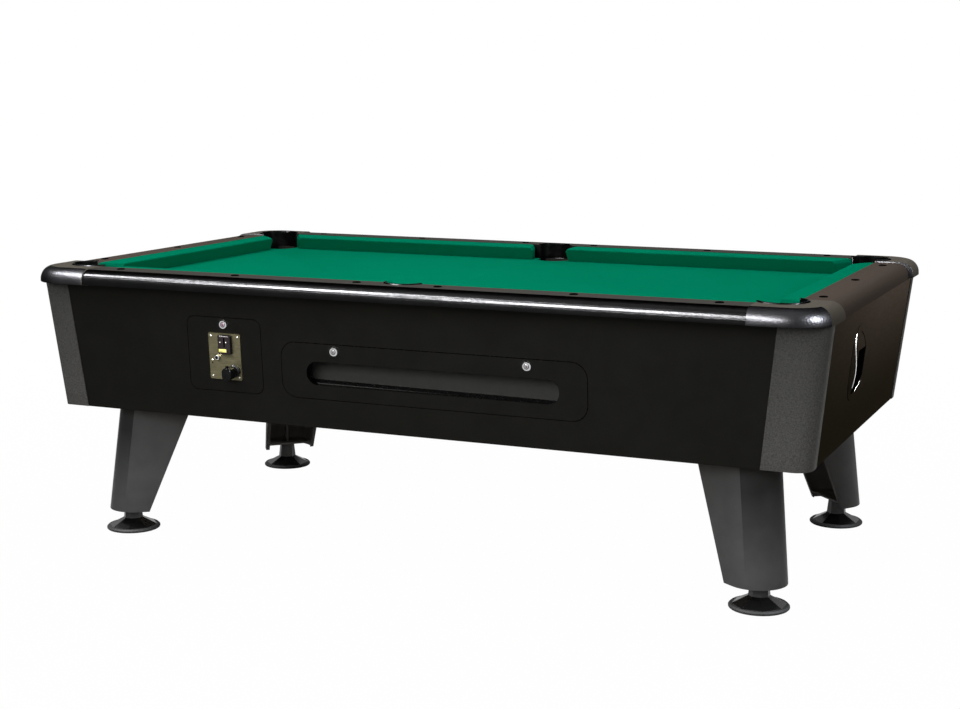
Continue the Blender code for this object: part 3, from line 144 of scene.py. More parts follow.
# Faces that fittings sit on
FACING = 0.95              # how squarely a face looks forward to count
FACE_DEPTH = 0.0002        # points this close to the outermost one are on the face

# Coin fittings, from the middle of the face they sit on
PLATE_SCREWS = (0.043, 0.0575)
SCREW_RADIUS = 0.0027
SCREW_HEIGHT = 0.0016
SCREW_SIDES = 16
SPARE_SCREW = (-0.0425, -0.0115)
SPARE_DOT = (-0.0425, -0.0195)
DOT_RADIUS = 0.0022
DOT_HEIGHT = 0.0004
BEZEL_FACE = (0.0375, 0.0505)
BEZEL_FACE_CORNER = 0.003
BEZEL_THICK = 0.0006
BEZEL_WALL = 0.0004        # upright part of its edge
BEZEL_ROUND = 0.0004       # how far its upper edge is drawn in
BEZEL_SLOT = (0.0048, 0.0285)
BEZEL_SLOT_RISE = 0.006
BEZEL_SLOT_CORNER = 0.48   # radius of its corners, as a share of its width
BEZEL_SCREWS = ((-0.0125, 0.0065), (0.0065, 0.0065))
BEZEL_SCREW = (0.0018, 0.0009)
BEZEL_STRIP = (0.030, 0.0026)
BEZEL_STRIP_CORNER = 0.001
BEZEL_STRIP_RISE = 0.0235
BEZEL_STRIP_HEIGHT = 0.0008
BEZEL_STRIP_ROUND = 0.0003
LABEL = (0.025, 0.0095)
LABEL_CORNER = 0.0008
LABEL_PLACE = (-0.006, -0.0172)
LABEL_HEIGHT = 0.0003
LABEL_ROUND = 0.0002
BUTTON_DISH = 0.0050
BUTTON_DISH_HEIGHT = 0.0005

# Lock faces
PLUG_RADIUS = 0.0060
PLUG_HEIGHT = 0.0009
PLUG_WALL = 0.0004
PLUG_FLAT = 0.8            # flat part of the plug, as a share of its radius
PLUG_SIDES = 24
# painted shade: a dark ring for the groove round the plug, and a dark raised slab for the keyhole
PLUG_GROOVE = 0.0016
GROOVE_HEIGHT = 0.0003
KEYHOLE = (0.0017, 0.0066)
KEYHOLE_CORNER = 0.4       # radius of its corners, as a share of its width
KEYHOLE_RISE = 0.0003
KEYHOLE_ROUND = 0.0001
KEYHOLE_STEPS = 3

# Cue-ball outlet
OUTLET_MIDDLE = (-0.172, 0.6035)
OUTLET_SIZE = (0.090, 0.170)
OUTLET_CREST = 0.002       # middle of the lip's crest outside the opening
OUTLET_PROUD = 0.002
OUTLET_LIP = 0.015
OUTLET_INWARD = 0.4        # how squarely a face looks at the opening's middle to be inside it
FOOT_MARGIN = 0.001        # points this close to the foot of a panel belong to it
LIP_FLANK = 0.014          # width of the lip's outer flank, from its crest to its foot
# Beads of painted highlight, laid along the lip only where it shows a highlight
NEAR_HIGHLIGHT = (0.82, -0.68)  # how far up and down the lip, as shares of half its height
NEAR_FLANK = (1.0, 0.10)   # how far down the flank the bead lies at its upper and lower end
NEAR_RADIUS = 0.0010
FAR_HIGHLIGHT = (-0.62, -0.92)
FAR_FLANK = (0.0, 0.0)
FAR_RADIUS = 0.0005
BEAD_STEPS = 24
HOOD_SPAN = (0.97, 0.44)
HOOD_SET_BACK = 0.0024
HOOD_STEPS = 10
HOOD_ACROSS = 4

# Stage
AMBIENT = 0.13
FLOOR_REACH = 60.0
FLOOR_SIDES = 96
FLOOR_TONE = 0.35
FLOOR_GLOW = 0.99
FLOOR_NEAR = 1.2
FLOOR_FAR = 4.0

# Lights: a wide one overhead, two that only glossy surfaces see, and two that only matt ones see
OVERHEAD_PLACE = Vector((-0.3, -0.4, 3.4))
OVERHEAD_SIZE = (4.2, 2.6)
OVERHEAD_POWER = 88.0
TUBE_START = Vector((-2.75, -1.32, 2.72))  # ends of the long strip light
TUBE_END = Vector((0.52, -2.78, 1.70))
TUBE_TARGET = Vector((0.1, -0.6, 0.78))
TUBE_WIDTH = 0.22
TUBE_POWER = 1600.0
RIGHT_PLACE = Vector((3.56, -1.08, 2.09))
RIGHT_TARGET = Vector((1.1, -0.6, 0.78))
RIGHT_SIZE = (0.75, 0.75)
RIGHT_POWER = 1250.0
RIGHT_TINT = (0.92, 0.95, 1.0)
REAR_PLACE = Vector((3.6, 2.2, 1.9))
REAR_TARGET = Vector((1.1, 0.0, 0.7))
REAR_SIZE = (1.0, 1.0)
REAR_POWER = 31.0
FILL_PLACE = Vector((0.5, -4.2, 1.8))
FILL_TARGET = Vector((0.3, -0.5, 0.6))
FILL_SIZE = (2.0, 1.0)
FILL_POWER = 46.0


def grey(tone):
    return (tone, tone, tone)


class Colour:
    """Colours of the finishes, in linear light."""

    cloth_deep = (0.0002, 0.200, 0.105)
    cloth_pale = (0.0005, 0.232, 0.123)
    cloth_drift = (0.0003, 0.190, 0.100)
    slate_dark = (0.055, 0.060, 0.066)
    slate_pale = (0.095, 0.100, 0.106)
    plywood_dark = (0.30, 0.19, 0.10)
    plywood_pale = (0.47, 0.33, 0.19)
    front_board = (0.0165, 0.0160, 0.0135)
    # painted light on the ends: a shaded colour low down and a lit one high up; their brown is partly
    # painted reflection
    end_board_shaded = (0.038, 0.031, 0.019)
    end_board_lit = (0.176, 0.135, 0.107)
    end_board_streak = (0.02, 0.016, 0.012)
    # the end rails' brown and the long rails' grey-brown tops are partly painted reflection
    end_rail = (0.100, 0.080, 0.067)
    rail_top = (0.078, 0.073, 0.067)
    rail_nose = (0.0060, 0.0060, 0.0062)
    rail_cap = grey(0.003)
    # painted reflection on the castings' flat tops and ends
    casting_top_reflection = (0.135, 0.123, 0.103)
    casting = (0.0102, 0.0102, 0.0108)
    casting_fleck = (0.0198, 0.0198, 0.0214)
    liner = (0.0042, 0.0042, 0.0044)
    post_dark = (0.112, 0.110, 0.104)
    post_pale = (0.188, 0.184, 0.174)
    # painted shade at the top of a post, under the casting
    post_top_shade = (0.045, 0.045, 0.041)
    leg_dark = grey(0.162)
    leg_pale = grey(0.182)
    # painted shade at the top of the legs, deeper on their noses
    leg_wing_shade = grey(0.095)
    leg_nose_shade = grey(0.048)
    foot_rim = grey(0.003)
    foot_cone = grey(0.010)
    foot_stem = grey(0.075)
    black_rubber = grey(0.0030)
    black_plastic = grey(0.005)
    grey_plastic = (0.092, 0.092, 0.087)
    mechanism_casing = (0.17, 0.17, 0.165)
    chrome = (0.55, 0.55, 0.56)
    steel = (0.20, 0.20, 0.195)
    zinc_dark = (0.27, 0.28, 0.28)
    zinc_pale = (0.40, 0.40, 0.39)
    coin_plate = (0.072, 0.066, 0.039)
    screw_steel = (0.42, 0.41, 0.39)
    screw_brass = (0.60, 0.56, 0.33)
    bezel_face = (0.050, 0.036, 0.040)
    bezel_strip = (0.085, 0.080, 0.080)
    label = (0.80, 0.74, 0.27)
    plug_grey = (0.26, 0.25, 0.25)
    plug_red = (0.30, 0.22, 0.25)
    # painted highlight of the outlet's lip
    outlet_highlight_bead = (0.50, 0.49, 0.47)
    floor = grey(FLOOR_TONE)


# Mesh helpers

def new_object(name, bm, material, body, crease=40):
    """Makes a piece from a bmesh, and lets it ride on a body."""
    mesh = bpy.data.meshes.new(name)
    bmesh.ops.recalc_face_normals(bm, faces=bm.faces)
    bm.to_mesh(mesh)
    bm.free()
    mesh.shade_smooth()
    mesh.set_sharp_from_angle(angle=math.radians(crease))
    mesh.materials.append(material)
    piece = bpy.data.objects.new(name, mesh)
    COLLECTION.objects.link(piece)
    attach(piece, body)
    return piece


def bridge(bm, rings):
    """Joins rings of equal length with quads."""
    made = [[bm.verts.new(p) for p in ring] for ring in rings]
    for first, second in zip(made, made[1:]):
        count = len(first)
        for i in range(count):
            j = (i + 1) % count
            bm.faces.new((first[i], first[j], second[j], second[i]))
    return made


def loft(bm, rings):
    """Joins rings with quads and closes both ends."""
    made = bridge(bm, rings)
    bm.faces.new(made[0])
    bm.faces.new(made[-1])


def full_turn(sides):
    """Angles once round, in radians."""
    return [2 * math.pi * i / sides for i in range(sides)]


def lathe(bm, profile, sides, place):
    """Turns a profile of radius and height about Z. It starts and ends on the axis."""
    rings = []
    for radius, height in profile[1:-1]:
        spots = [(radius * math.cos(a), radius * math.sin(a), height) for a in full_turn(sides)]
        rings.append([place @ Vector(spot) for spot in spots])
    made = bridge(bm, rings)
    for (_, height), ring in ((profile[0], made[0]), (profile[-1], made[-1])):
        tip = bm.verts.new(place @ Vector((0, 0, height)))
        for i in range(sides):
            bm.faces.new((ring[i], ring[(i + 1) % sides], tip))


def slab(bm, outline, low, high, place, round_off):
    """Raises a flat outline from low to high, with its upper edge rounded off."""
    middle = Vector((sum(p[0] for p in outline), sum(p[1] for p in outline))) / len(outline)
    knee = 0.3
    steps = ((low, 0.0), (high - round_off, 0.0), (high - knee * round_off, knee), (high, 1.0))
    rings = []
    for height, share in steps:
        ring = []
        for x, y in outline:
            inward = (middle - Vector((x, y))).normalized() * round_off * share
            ring.append(place @ Vector((x + inward.x, y + inward.y, height)))
        rings.append(ring)
    loft(bm, rings)


def tube(bm, points, radius, sides=10):
    """A round rod through points, closed at both ends."""
    rings = []
    side = None
    for i, point in enumerate(points):
        ahead = (points[min(i + 1, len(points) - 1)] - points[max(i - 1, 0)]).normalized()
        if side is None:
            side = ahead.orthogonal().normalized()
        else:
            side = (side - ahead * side.dot(ahead)).normalized()
        over = ahead.cross(side)
        rings.append([point + (side * math.cos(a) + over * math.sin(a)) * radius for a in full_turn(sides)])
    loft(bm, rings)


def arc(centre, radius, start, end, steps):
    """Points along an arc, in degrees."""
    points = []
    for i in range(steps + 1):
        angle = math.radians(start + (end - start) * i / steps)
        points.append((centre[0] + radius * math.cos(angle), centre[1] + radius * math.sin(angle)))
    return points


def rounded(centre, width, height, radius, steps=5):
    """A rectangle with round corners."""
    x = width / 2 - radius
    y = height / 2 - radius
    points = []
    for turn, (sx, sy) in enumerate(((1, 1), (-1, 1), (-1, -1), (1, -1))):
        corner = (centre[0] + sx * x, centre[1] + sy * y)
        points += arc(corner, radius, 90 * turn, 90 * turn + 90, steps)
    return points


def face_frame(node):
    """Frame on a node's outer face: origin in its middle, Z out of it, Y up it."""
    place = NODES[node].matrix_world
    mesh = NODES[node].data
    turn = place.to_3x3()
    faces = [p for p in mesh.polygons if (turn @ p.normal).dot(FORWARD) > FACING]
    normal = (turn @ sum((p.normal * p.area for p in faces), Vector())).normalized()
    side = UP.cross(normal).normalized()
    rise = normal.cross(side)
    points = [place @ v.co for v in mesh.vertices]
    reach = max(p.dot(normal) for p in points)
    outer = [p for p in points if p.dot(normal) > reach - FACE_DEPTH]
    across = [p.dot(side) for p in outer]
    along = [p.dot(rise) for p in outer]
    origin = normal * reach
    origin = origin + side * (min(across) + max(across)) / 2
    origin = origin + rise * (min(along) + max(along)) / 2
    axes = Matrix((side, rise, normal)).transposed().to_4x4()
    return Matrix.Translation(origin) @ axes


def at(place, spot):
    """A frame moved over within its own plane."""
    return place @ Matrix.Translation((*spot, 0))


# Finishes

class Finish:
    """A Principled material whose colour, gloss and relief come from procedural textures."""

    def __init__(self, name, roughness, metallic=0.0, specular=0.5):
        self.material = bpy.data.materials.new(name)
        self.material.use_nodes = True
        self.tree = self.material.node_tree
        self.shader = self.tree.nodes["Principled BSDF"]
        self.value("Roughness", roughness)
        self.value("Metallic", metallic)
        self.value("Specular IOR Level", specular)
        self.coords = self.tree.nodes.new("ShaderNodeTexCoord").outputs["Object"]
        self.relief = None

    def value(self, socket, value):
        self.shader.inputs[socket].default_value = value

    def node(self, kind, inputs, **settings):
        """Adds a node. Each input is a value or another node's output."""
        made = self.tree.nodes.new("ShaderNode" + kind)
        for key, value in settings.items():
            setattr(made, key, value)
        for key, value in inputs.items():
            if isinstance(value, bpy.types.NodeSocket):
                self.tree.links.new(value, made.inputs[key])
            else:
                made.inputs[key].default_value = value
        return made

    def drive(self, socket, source):
        self.tree.links.new(source, self.shader.inputs[socket])

    def grain(self, size, stretch=(1, 1, 1), detail=3.0):
        """Noise with grains of about this size, drawn out by stretch along each axis."""
        scale = [1 / (size * s) for s in stretch]
        mapped = self.node("Mapping", {"Vector": self.coords, "Scale": scale}).outputs[0]
        return self.node("TexNoise", {"Vector": mapped, "Scale": 1.0, "Detail": detail}).outputs[0]

    def cells(self, size, output="Distance"):
        """Cells round scattered points about this far apart: the distance to the nearest, or its colour."""
        return self.node("TexVoronoi", {"Vector": self.coords, "Scale": 1 / size}).outputs[output]

    def threads(self, axis, pitch):
        """Threads across one axis, with this pitch."""
        made = self.node(
            "TexWave",
            {"Vector": self.coords, "Scale": math.pi / (10 * pitch), "Distortion": 0.6, "Detail": 1.0},
            bands_direction=axis,
        )
        return made.outputs["Fac"]

    def axis(self, name):
        """Distance along one of the object's axes."""
        return self.node("SeparateXYZ", {0: self.coords}).outputs[name]

    def spread(self, value, low, high, start=0.35, end=0.65):
        """Maps start..end to low..high, held at both ends."""
        inputs = {"Value": value, "From Min": start, "From Max": end, "To Min": low, "To Max": high}
        return self.node("MapRange", inputs).outputs[0]

    def share(self, value, start=0.35, end=0.65):
        """Maps start..end to 0..1, held at both ends. Most noise lies in the range it takes by itself."""
        return self.spread(value, 0.0, 1.0, start, end)

    def product(self, first, second):
        return self.node("Math", {0: first, 1: second}, operation="MULTIPLY").outputs[0]

    def mix(self, share, first, second):
        """A colour between two, each a colour or a node's output."""
        inputs = {0: share}
        for key, colour in ((6, first), (7, second)):
            inputs[key] = colour if isinstance(colour, bpy.types.NodeSocket) else (*colour, 1.0)
        return self.node("Mix", inputs, data_type="RGBA").outputs[2]

    def bump(self, height, depth, strength=0.5):
        """Adds relief of this depth on top of what is there."""
        inputs = {"Strength": strength, "Distance": depth, "Height": height}
        if self.relief:
            inputs["Normal"] = self.relief
        self.relief = self.node("Bump", inputs).outputs[0]
        self.drive("Normal", self.relief)

    def tinted(self, colour, size, amount):
        """Colour that drifts a little darker and lighter over this distance."""
        darker = [c * (1 - amount) for c in colour]
        lighter = [c * (1 + amount) for c in colour]
        self.drive("Base Color", self.mix(self.share(self.grain(size)), darker, lighter))

    def worn(self, size, low, high):
        """Gloss that varies with rubbed patches of about this size."""
        self.drive("Roughness", self.spread(self.grain(size), low, high))


def cloth_finish():
    """Worsted wool cloth: a fine twill with a short nap."""
    made = Finish("green_cloth", 0.95, specular=0.0)
    pitch = 0.0011
    nap = made.share(made.grain(0.0016))
    fibre = made.mix(nap, Colour.cloth_deep, Colour.cloth_pale)
    drift = made.spread(made.grain(0.30, detail=2.0), 0.0, 0.35)
    made.drive("Base Color", made.mix(drift, fibre, Colour.cloth_drift))
    made.bump(made.product(made.threads("X", pitch), made.threads("Y", pitch)), depth=0.00012)
    made.bump(made.grain(0.0006), depth=0.0001, strength=0.6)
    return made.material


def front_board_finish():
    """Black laminate on board: a fine pressed grain with a few rubbed patches."""
    made = Finish("black_board", 0.5, specular=0.01)
    made.tinted(Colour.front_board, 0.18, 0.06)
    made.worn(0.06, 0.46, 0.55)
    made.bump(made.grain(0.0013, detail=4.0), depth=0.00005, strength=0.6)
    return made.material


def end_board_finish():
    """Brown-black laminate of the ends. Its brown is partly painted reflection, and painted light makes it
    paler towards the rail and the rear.
    """
    made = Finish("end_board", 0.6, specular=0.0)
    # painted light: paler higher up and towards the rear
    rise = made.share(made.axis("Z"), *END_LIGHT_FADE)
    rise = made.product(rise, rise)
    rise = made.product(rise, made.spread(made.axis("Y"), END_LIGHT_NEAR, 1.0, *END_LIGHT_REACH))
    shade = made.mix(rise, Colour.end_board_shaded, Colour.end_board_lit)
    streak = made.spread(made.grain(0.004, (8, 8, 1), 4.0), 0.0, 0.16)
    made.drive("Base Color", made.mix(streak, shade, Colour.end_board_streak))
    made.bump(made.grain(0.0013, detail=4.0), depth=0.00005, strength=0.6)
    return made.material


def matt_top_finish(name, colour):
    """Worn matt top of a rail or a casting, whose grey-brown colour is partly painted reflection."""
    made = Finish(name, 0.7, specular=0.0)
    darker = [c * 0.86 for c in colour]
    made.drive("Base Color", made.mix(made.share(made.grain(0.003, detail=4.0)), darker, colour))
    made.bump(made.grain(0.0012, detail=4.0), depth=0.00006, strength=0.6)
    return made.material


def dark_gloss(name, roughness):
    """Start of a dark glossy finish, which shines evenly and doesn't whiten at grazing angles."""
    made = Finish(name, roughness, metallic=1.0)
    made.value("Specular Tint", (0, 0, 0, 1))
    return made


def rail_nose_finish():
    """Glossy black pebbled covering of a long rail's nose."""
    made = dark_gloss("rail_nose", 0.24)
    made.tinted(Colour.rail_nose, 0.05, 0.10)
    made.worn(0.012, 0.215, 0.24)
    made.bump(made.share(made.cells(0.0040), 0.0, 0.8), depth=0.00028)
    made.bump(made.grain(0.0009), depth=0.00004)
    return made.material


def casting_finish():
    """Cast corner with a dark metallic paint: fine sparkle over a soft orange peel."""
    made = dark_gloss("casting", 0.35)
    fleck = made.spread(made.cells(0.0014), 1.0, 0.0, 0.05, 0.35)
    made.drive("Base Color", made.mix(fleck, Colour.casting, Colour.casting_fleck))
    made.worn(0.03, 0.33, 0.37)
    made.bump(made.cells(0.0055), depth=0.0006)
    made.bump(made.grain(0.0008), depth=0.00003)
    return made.material


def liner_finish():
    """Moulded black rubber of the pockets, shiny where it is rubbed."""
    made = dark_gloss("pocket_liner", 0.22)
    made.tinted(Colour.liner, 0.02, 0.2)
    made.worn(0.015, 0.18, 0.30)
    made.bump(made.grain(0.0009, detail=4.0), depth=0.00004)
    return made.material


def post_finish():
    """Grey corner sheet with a leather-like pressed texture, and painted shade darker towards the top, under
    the casting.
    """
    made = Finish("grey_sheet", 0.6, specular=0.01)
    speck = made.share(made.grain(0.0036, detail=5.0))
    sheet = made.mix(speck, Colour.post_dark, Colour.post_pale)
    # painted shade: darker towards the top, under the casting
    rise = made.spread(made.axis("Z"), 0.0, POST_SHADE_DEPTH, *POST_SHADE_FADE)
    made.drive("Base Color", made.mix(rise, sheet, Colour.post_top_shade))
    made.worn(0.02, 0.52, 0.68)
    made.bump(made.grain(0.0026, detail=5.0), depth=0.00035, strength=0.6)
    return made.material


def leg_finish(name, fade, high):
    """Satin grey paint on bent sheet, with painted shade darker towards the top, under the cabinet."""
    made = Finish(name, 0.36, specular=0.01)
    sheet = made.mix(made.share(made.grain(0.05)), Colour.leg_dark, Colour.leg_pale)
    # painted shade: darker towards the top, under the cabinet
    rise = made.share(made.axis("Z"), *fade)
    made.drive("Base Color", made.mix(rise, sheet, high))
    made.worn(0.03, 0.32, 0.42)
    made.bump(made.grain(0.0012, detail=4.0), depth=0.00005)
    return made.material


def foot_finish():
    """Levelling foot: rubber rim, glossy moulded cone, grey steel stem."""
    made = Finish("levelling_foot", 0.4, specular=0.11)
    height = made.axis("Z")
    cone = made.share(height, FOOT_RIM - FOOT_RIM_SOFT, FOOT_RIM + FOOT_RIM_SOFT)
    stem = made.share(height, FOOT_NECK - FOOT_NECK_SOFT, FOOT_NECK + FOOT_NECK_SOFT)
    body = made.mix(cone, Colour.foot_rim, Colour.foot_cone)
    made.drive("Base Color", made.mix(stem, body, Colour.foot_stem))
    made.drive("Roughness", made.spread(cone, 0.70, 0.27, 0.0, 1.0))
    made.bump(made.grain(0.001), depth=0.00005)
    return made.material


def plastic_finish(name, colour, roughness, specular, drift=0.12):
    """Moulded plastic, rubber or paint with a fine spark-eroded skin."""
    made = Finish(name, roughness, specular=specular)
    made.tinted(colour, 0.02, drift)
    made.worn(0.015, roughness - 0.05, roughness + 0.06)
    made.bump(made.grain(0.0007, detail=4.0), depth=0.00004)
    return made.material


def label_finish():
    """Bare pale card with a satin face."""
    made = Finish("label_card", 0.7, metallic=0.08, specular=0.0)
    made.tinted(Colour.label, 0.01, 0.06)
    made.bump(made.grain(0.0004), depth=0.00002)
    return made.material


def metal_finish(name, colour, roughness, brushed=(1, 1, 1), grain=0.0006):
    """Bare metal. Brushed metal has its grain drawn out along one axis."""
    made = Finish(name, roughness, metallic=1.0)
    streak = made.grain(grain, brushed, 4.0)
    dim = [c * 0.86 for c in colour]
    made.drive("Base Color", made.mix(made.share(streak), dim, colour))
    made.drive("Roughness", made.spread(streak, roughness * 0.85, roughness * 1.2))
    made.bump(streak, depth=0.00001)
    return made.material


def zinc_finish():
    """Galvanised sheet with its large dull crystals."""
    made = Finish("zinc_sheet", 0.42, metallic=0.06, specular=0.0)
    tone = made.node("SeparateColor", {0: made.cells(1 / 70, "Color")}).outputs[0]
    made.drive("Base Color", made.mix(tone, Colour.zinc_dark, Colour.zinc_pale))
    made.drive("Roughness", made.spread(tone, 0.36, 0.5, 0.0, 1.0))
    made.bump(made.grain(0.002), depth=0.00003, strength=0.4)
    return made.material


def slate_finish():
    """Sawn and ground slate: grey, with faint cleavage streaks and specks."""
    made = Finish("slate", 0.75, specular=0.35)
    streak = made.share(made.grain(0.02, (6, 1, 1), 5.0))
    made.drive("Base Color", made.mix(streak, Colour.slate_dark, Colour.slate_pale))
    made.bump(made.grain(0.003, detail=6.0), depth=0.0002)
    return made.material


def plywood_finish():
    """Birch plywood with its grain along the table."""
    made = Finish("plywood", 0.62, specular=0.35)
    figure = made.share(made.grain(0.012, (14, 1, 1), 5.0))
    made.drive("Base Color", made.mix(figure, Colour.plywood_dark, Colour.plywood_pale))
    made.bump(made.grain(0.0012, (18, 1, 1), 4.0), depth=0.00015)
    return made.material


def make_finishes():
    """The finishes that the record's slots name."""
    return {
        "green_cloth": cloth_finish(),
        "slate": slate_finish(),
        "black_board": front_board_finish(),
        "plywood": plywood_finish(),
        "black_rail": rail_nose_finish(),
        "casting": casting_finish(),
        "grey_sheet": post_finish(),
        "leg_grey": leg_finish("leg_grey", WING_SHADE_FADE, Colour.leg_wing_shade),
        "black_rubber": plastic_finish("black_rubber", Colour.black_rubber, 0.25, 0.015),
        "black_plastic": plastic_finish("black_plastic", Colour.black_plastic, 0.32, 0.06),
        "grey_plastic": plastic_finish("grey_plastic", Colour.grey_plastic, 0.55, 0.01, 0.03),
        "chrome": metal_finish("chrome", Colour.chrome, 0.12),
        "steel": metal_finish("steel", Colour.steel, 0.38, (1, 12, 1)),
        "zinc_sheet": zinc_finish(),
        "mechanism_casing": plastic_finish("mechanism_casing", Colour.mechanism_casing, 0.55, 0.03),
    }


# Dressing of the carried-over nodes

def give(node, material):
    """Gives a node one finish all over."""
    slots = NODES[node].material_slots
    if not slots:
        NODES[node].data.materials.append(material)
    for slot in slots:
        slot.material = material


def give_faces(node, material, choose):
    """Gives a second finish to the faces of a node that are chosen by their middle and normal."""
    mesh = NODES[node].data
    mesh.materials.append(material)
    for face in mesh.polygons:
        if choose(face.center, face.normal):
            face.material_index = len(mesh.materials) - 1


def corners():
    """Name and direction of each corner of the table."""
    for end, y in (("front", -1), ("rear", 1)):
        for side, x in (("left", -1), ("right", 1)):
            yield f"{end}_{side}", Vector((x, y, 0))


def dress_by_slot(finishes):
    for sub in frame["record"]["subparts"]:
        give(sub["node"], finishes[sub["material_slot"]])


def dress_rails(end_board):
    """End panels and end rails, and the flat tops of the long rails."""
    end_rail = matt_top_finish("end_rail", Colour.end_rail)
    for side in ("left", "right"):
        give(f"{side}_end_panel", end_board)
        give(f"end_rail_{side}", end_rail)
    rail_top = matt_top_finish("rail_top", Colour.rail_top)
    for end in ("front", "rear"):
        give_faces(f"long_rail_{end}", rail_top, lambda p, n: n.z > LEVEL and abs(p.y) < STRIP_EDGE)


def on_casting_top(point, normal):
    """Whether a face of a casting is its flat top or its end."""
    return normal.z > LEVEL or abs(normal.x) > CASTING_END_TURN * normal.xy.length


def dress_corners():
    """Painted reflection on the castings' tops and ends, painted shade on the legs' noses, and the feet."""
    top = matt_top_finish("casting_top_reflection", Colour.casting_top_reflection)
    foot = foot_finish()
    # the legs' noses get a copy of the leg paint with deeper painted shade at the top
    nose = leg_finish("leg_nose_shaded", NOSE_SHADE_FADE, Colour.leg_nose_shade)
    for corner, away in corners():
        give(f"levelling_foot_{corner}", foot)
        give_faces(f"leg_{corner}", nose, lambda p, n: min(n.x * away.x, n.y * away.y) > -LEG_TURN)
        # painted reflection: the casting is one paint all over; its top and ends get a brown matt colour for
        # the brown reflection they show
        give_faces(f"corner_casting_{corner}", top, on_casting_top)


def inside_outlet(point, normal):
    """Whether a face of the outlet looks into its opening."""
    inward = Vector((0, OUTLET_MIDDLE[0] - point.y, OUTLET_MIDDLE[1] - point.z)).normalized()
    return normal.dot(inward) > OUTLET_INWARD


def dress_openings(rubber, end_board):
    """Shiny edges of the pocket liners, black rubber as painted shade on the ball slot's walls and the tray,
    and the dark walls of the outlet.
    """
    liner = liner_finish()
    for node in NODES:
        if "liner" in node:
            give_faces(node, liner, lambda p, n: n.z > LINER_TOP)
    # painted shade: black rubber on the door's edges and slot walls, and on the tray's floor and sides
    for node in ("ball_door", "ball_tray"):
        give_faces(node, rubber, lambda p, n: abs(n.y) < SLOT_WALL)
    give("outlet_bezel", end_board)
    give_faces("outlet_bezel", rubber, inside_outlet)


def soften_edges():
    """Bevels the edges of the castings, posts, legs and end rails, so that they catch the light."""
    for node in NODES:
        if not node.startswith(BEVELLED):
            continue
        mesh = NODES[node].data
        mesh.shade_smooth()
        mesh.set_sharp_from_angle(angle=math.radians(BEVEL_CREASE))
        weld = NODES[node].modifiers.new("weld", "WELD")
        weld.merge_threshold = MERGE
        bevel = NODES[node].modifiers.new("bevel", "BEVEL")
        bevel.width = EDGE_BEVEL
        bevel.segments = BEVEL_STEPS
        bevel.limit_method = "ANGLE"
        bevel.angle_limit = math.radians(BEVEL_ANGLE)
        bevel.harden_normals = False


# Cushions

def cushion_section(width, low, high):
    """Section of a covered cushion, as distances outward from the nose line and heights."""
    front = arc((NOSE_RADIUS, high - NOSE_DROP), NOSE_RADIUS, *NOSE_ARC, NOSE_STEPS)
    foot = Vector((UNDERCUT, low))
    face = [foot.lerp(Vector(front[0]), i / FACE_STEPS) for i in range(FACE_STEPS)]
    tip_depth, tip_height = front[-1]
    top = []
    for i in range(1, TOP_STEPS + 1):
        share = i / TOP_STEPS
        depth = tip_depth + (width - tip_depth) * share
        height = tip_height + (high - tip_height) * share + CROWN * math.sin(math.pi * share)
        into = max(0.0, 1 - (width - depth) / TUCK_WIDTH)
        top.append((depth, height - TUCK * into * into))
    back = [(width, low + (high - TUCK - low) * (1 - i / BACK_STEPS)) for i in range(1, BACK_STEPS + 1)]
    under = [(width + (UNDERCUT - width) * i / UNDER_STEPS, low) for i in range(1, UNDER_STEPS)]
    return [Vector(p) for p in face + front + top + back + under]


def inward_ways(section):
    """Unit vectors that point into a section, one for each of its points."""
    count = len(section)
    ways = []
    for i in range(count):
        along = section[(i + 1) % count] - section[i - 1]
        ways.append(Vector((along.y, -along.x)).normalized())
    return ways


def jaw_rows():
    """Rows of cloth from a jaw inwards: how far each is drawn into the section, and how far in it lies."""
    rows = []
    for share in EDGE_SHARES:
        angle = share * math.pi / 2
        rows.append((EDGE_ROUND * (1 - math.sin(angle)), EDGE_ROUND * (1 - math.cos(angle))))
    return rows + [(0.0, EDGE_ROUND + JAW_ROLL * k / ROLL_STEPS) for k in range(1, ROLL_STEPS + 1)]


def cushion_stations():
    """Sections along a cushion: share of its length, how far each is drawn in, and a run along it."""
    rows = jaw_rows()
    inner = rows[-1][1]
    stations = [(0.0, inset, run) for inset, run in rows]
    for i in range(1, CUSHION_STEPS):
        share = i / CUSHION_STEPS
        stations.append((share, 0.0, inner * (1 - 2 * share)))
    return stations + [(1.0, inset, -run) for inset, run in reversed(rows)]


def drawn_down(share, run):
    """How far the cloth of a section is drawn down over the jaw next to it."""
    if 0.0 < share < 1.0:
        return 0.0
    short = min(JAW_ROLL, max(0.0, EDGE_ROUND + JAW_ROLL - abs(run)))
    return JAW_ROLL - math.sqrt(JAW_ROLL ** 2 - short ** 2)


def make_cushion(node, along, outward, line, start, end, cloth):
    """A cushion covered in cloth. Each end is its nose tip and how far its back runs past it."""
    low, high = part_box(node)
    section = cushion_section(abs((high - low).dot(outward)), low.z, high.z)
    ways = inward_ways(section)
    width = max(p.x for p in section)
    rings = []
    for share, inset, run in cushion_stations():
        drop = drawn_down(share, run)
        ring = []
        for point, way in zip(section, ways):
            depth, height = point + way * inset
            height -= drop * (height - low.z) / (high.z - low.z)
            first = start[0] - start[1] * depth / width
            last = end[0] + end[1] * depth / width
            place = along * (first + (last - first) * share + run) + outward * (line + depth) + UP * height
            if inset == 0.0 and height > low.z + EDGE_ROUND and depth < width - EDGE_ROUND:
                place += UP * RIPPLE_HEIGHT * noise.noise(place * RIPPLES)
            ring.append(place)
        rings.append(ring)
    bm = bmesh.new()
    loft(bm, rings)
    piece = new_object(node + "_covered", bm, cloth, "cabinet", CUSHION_CREASE)
    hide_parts(node)


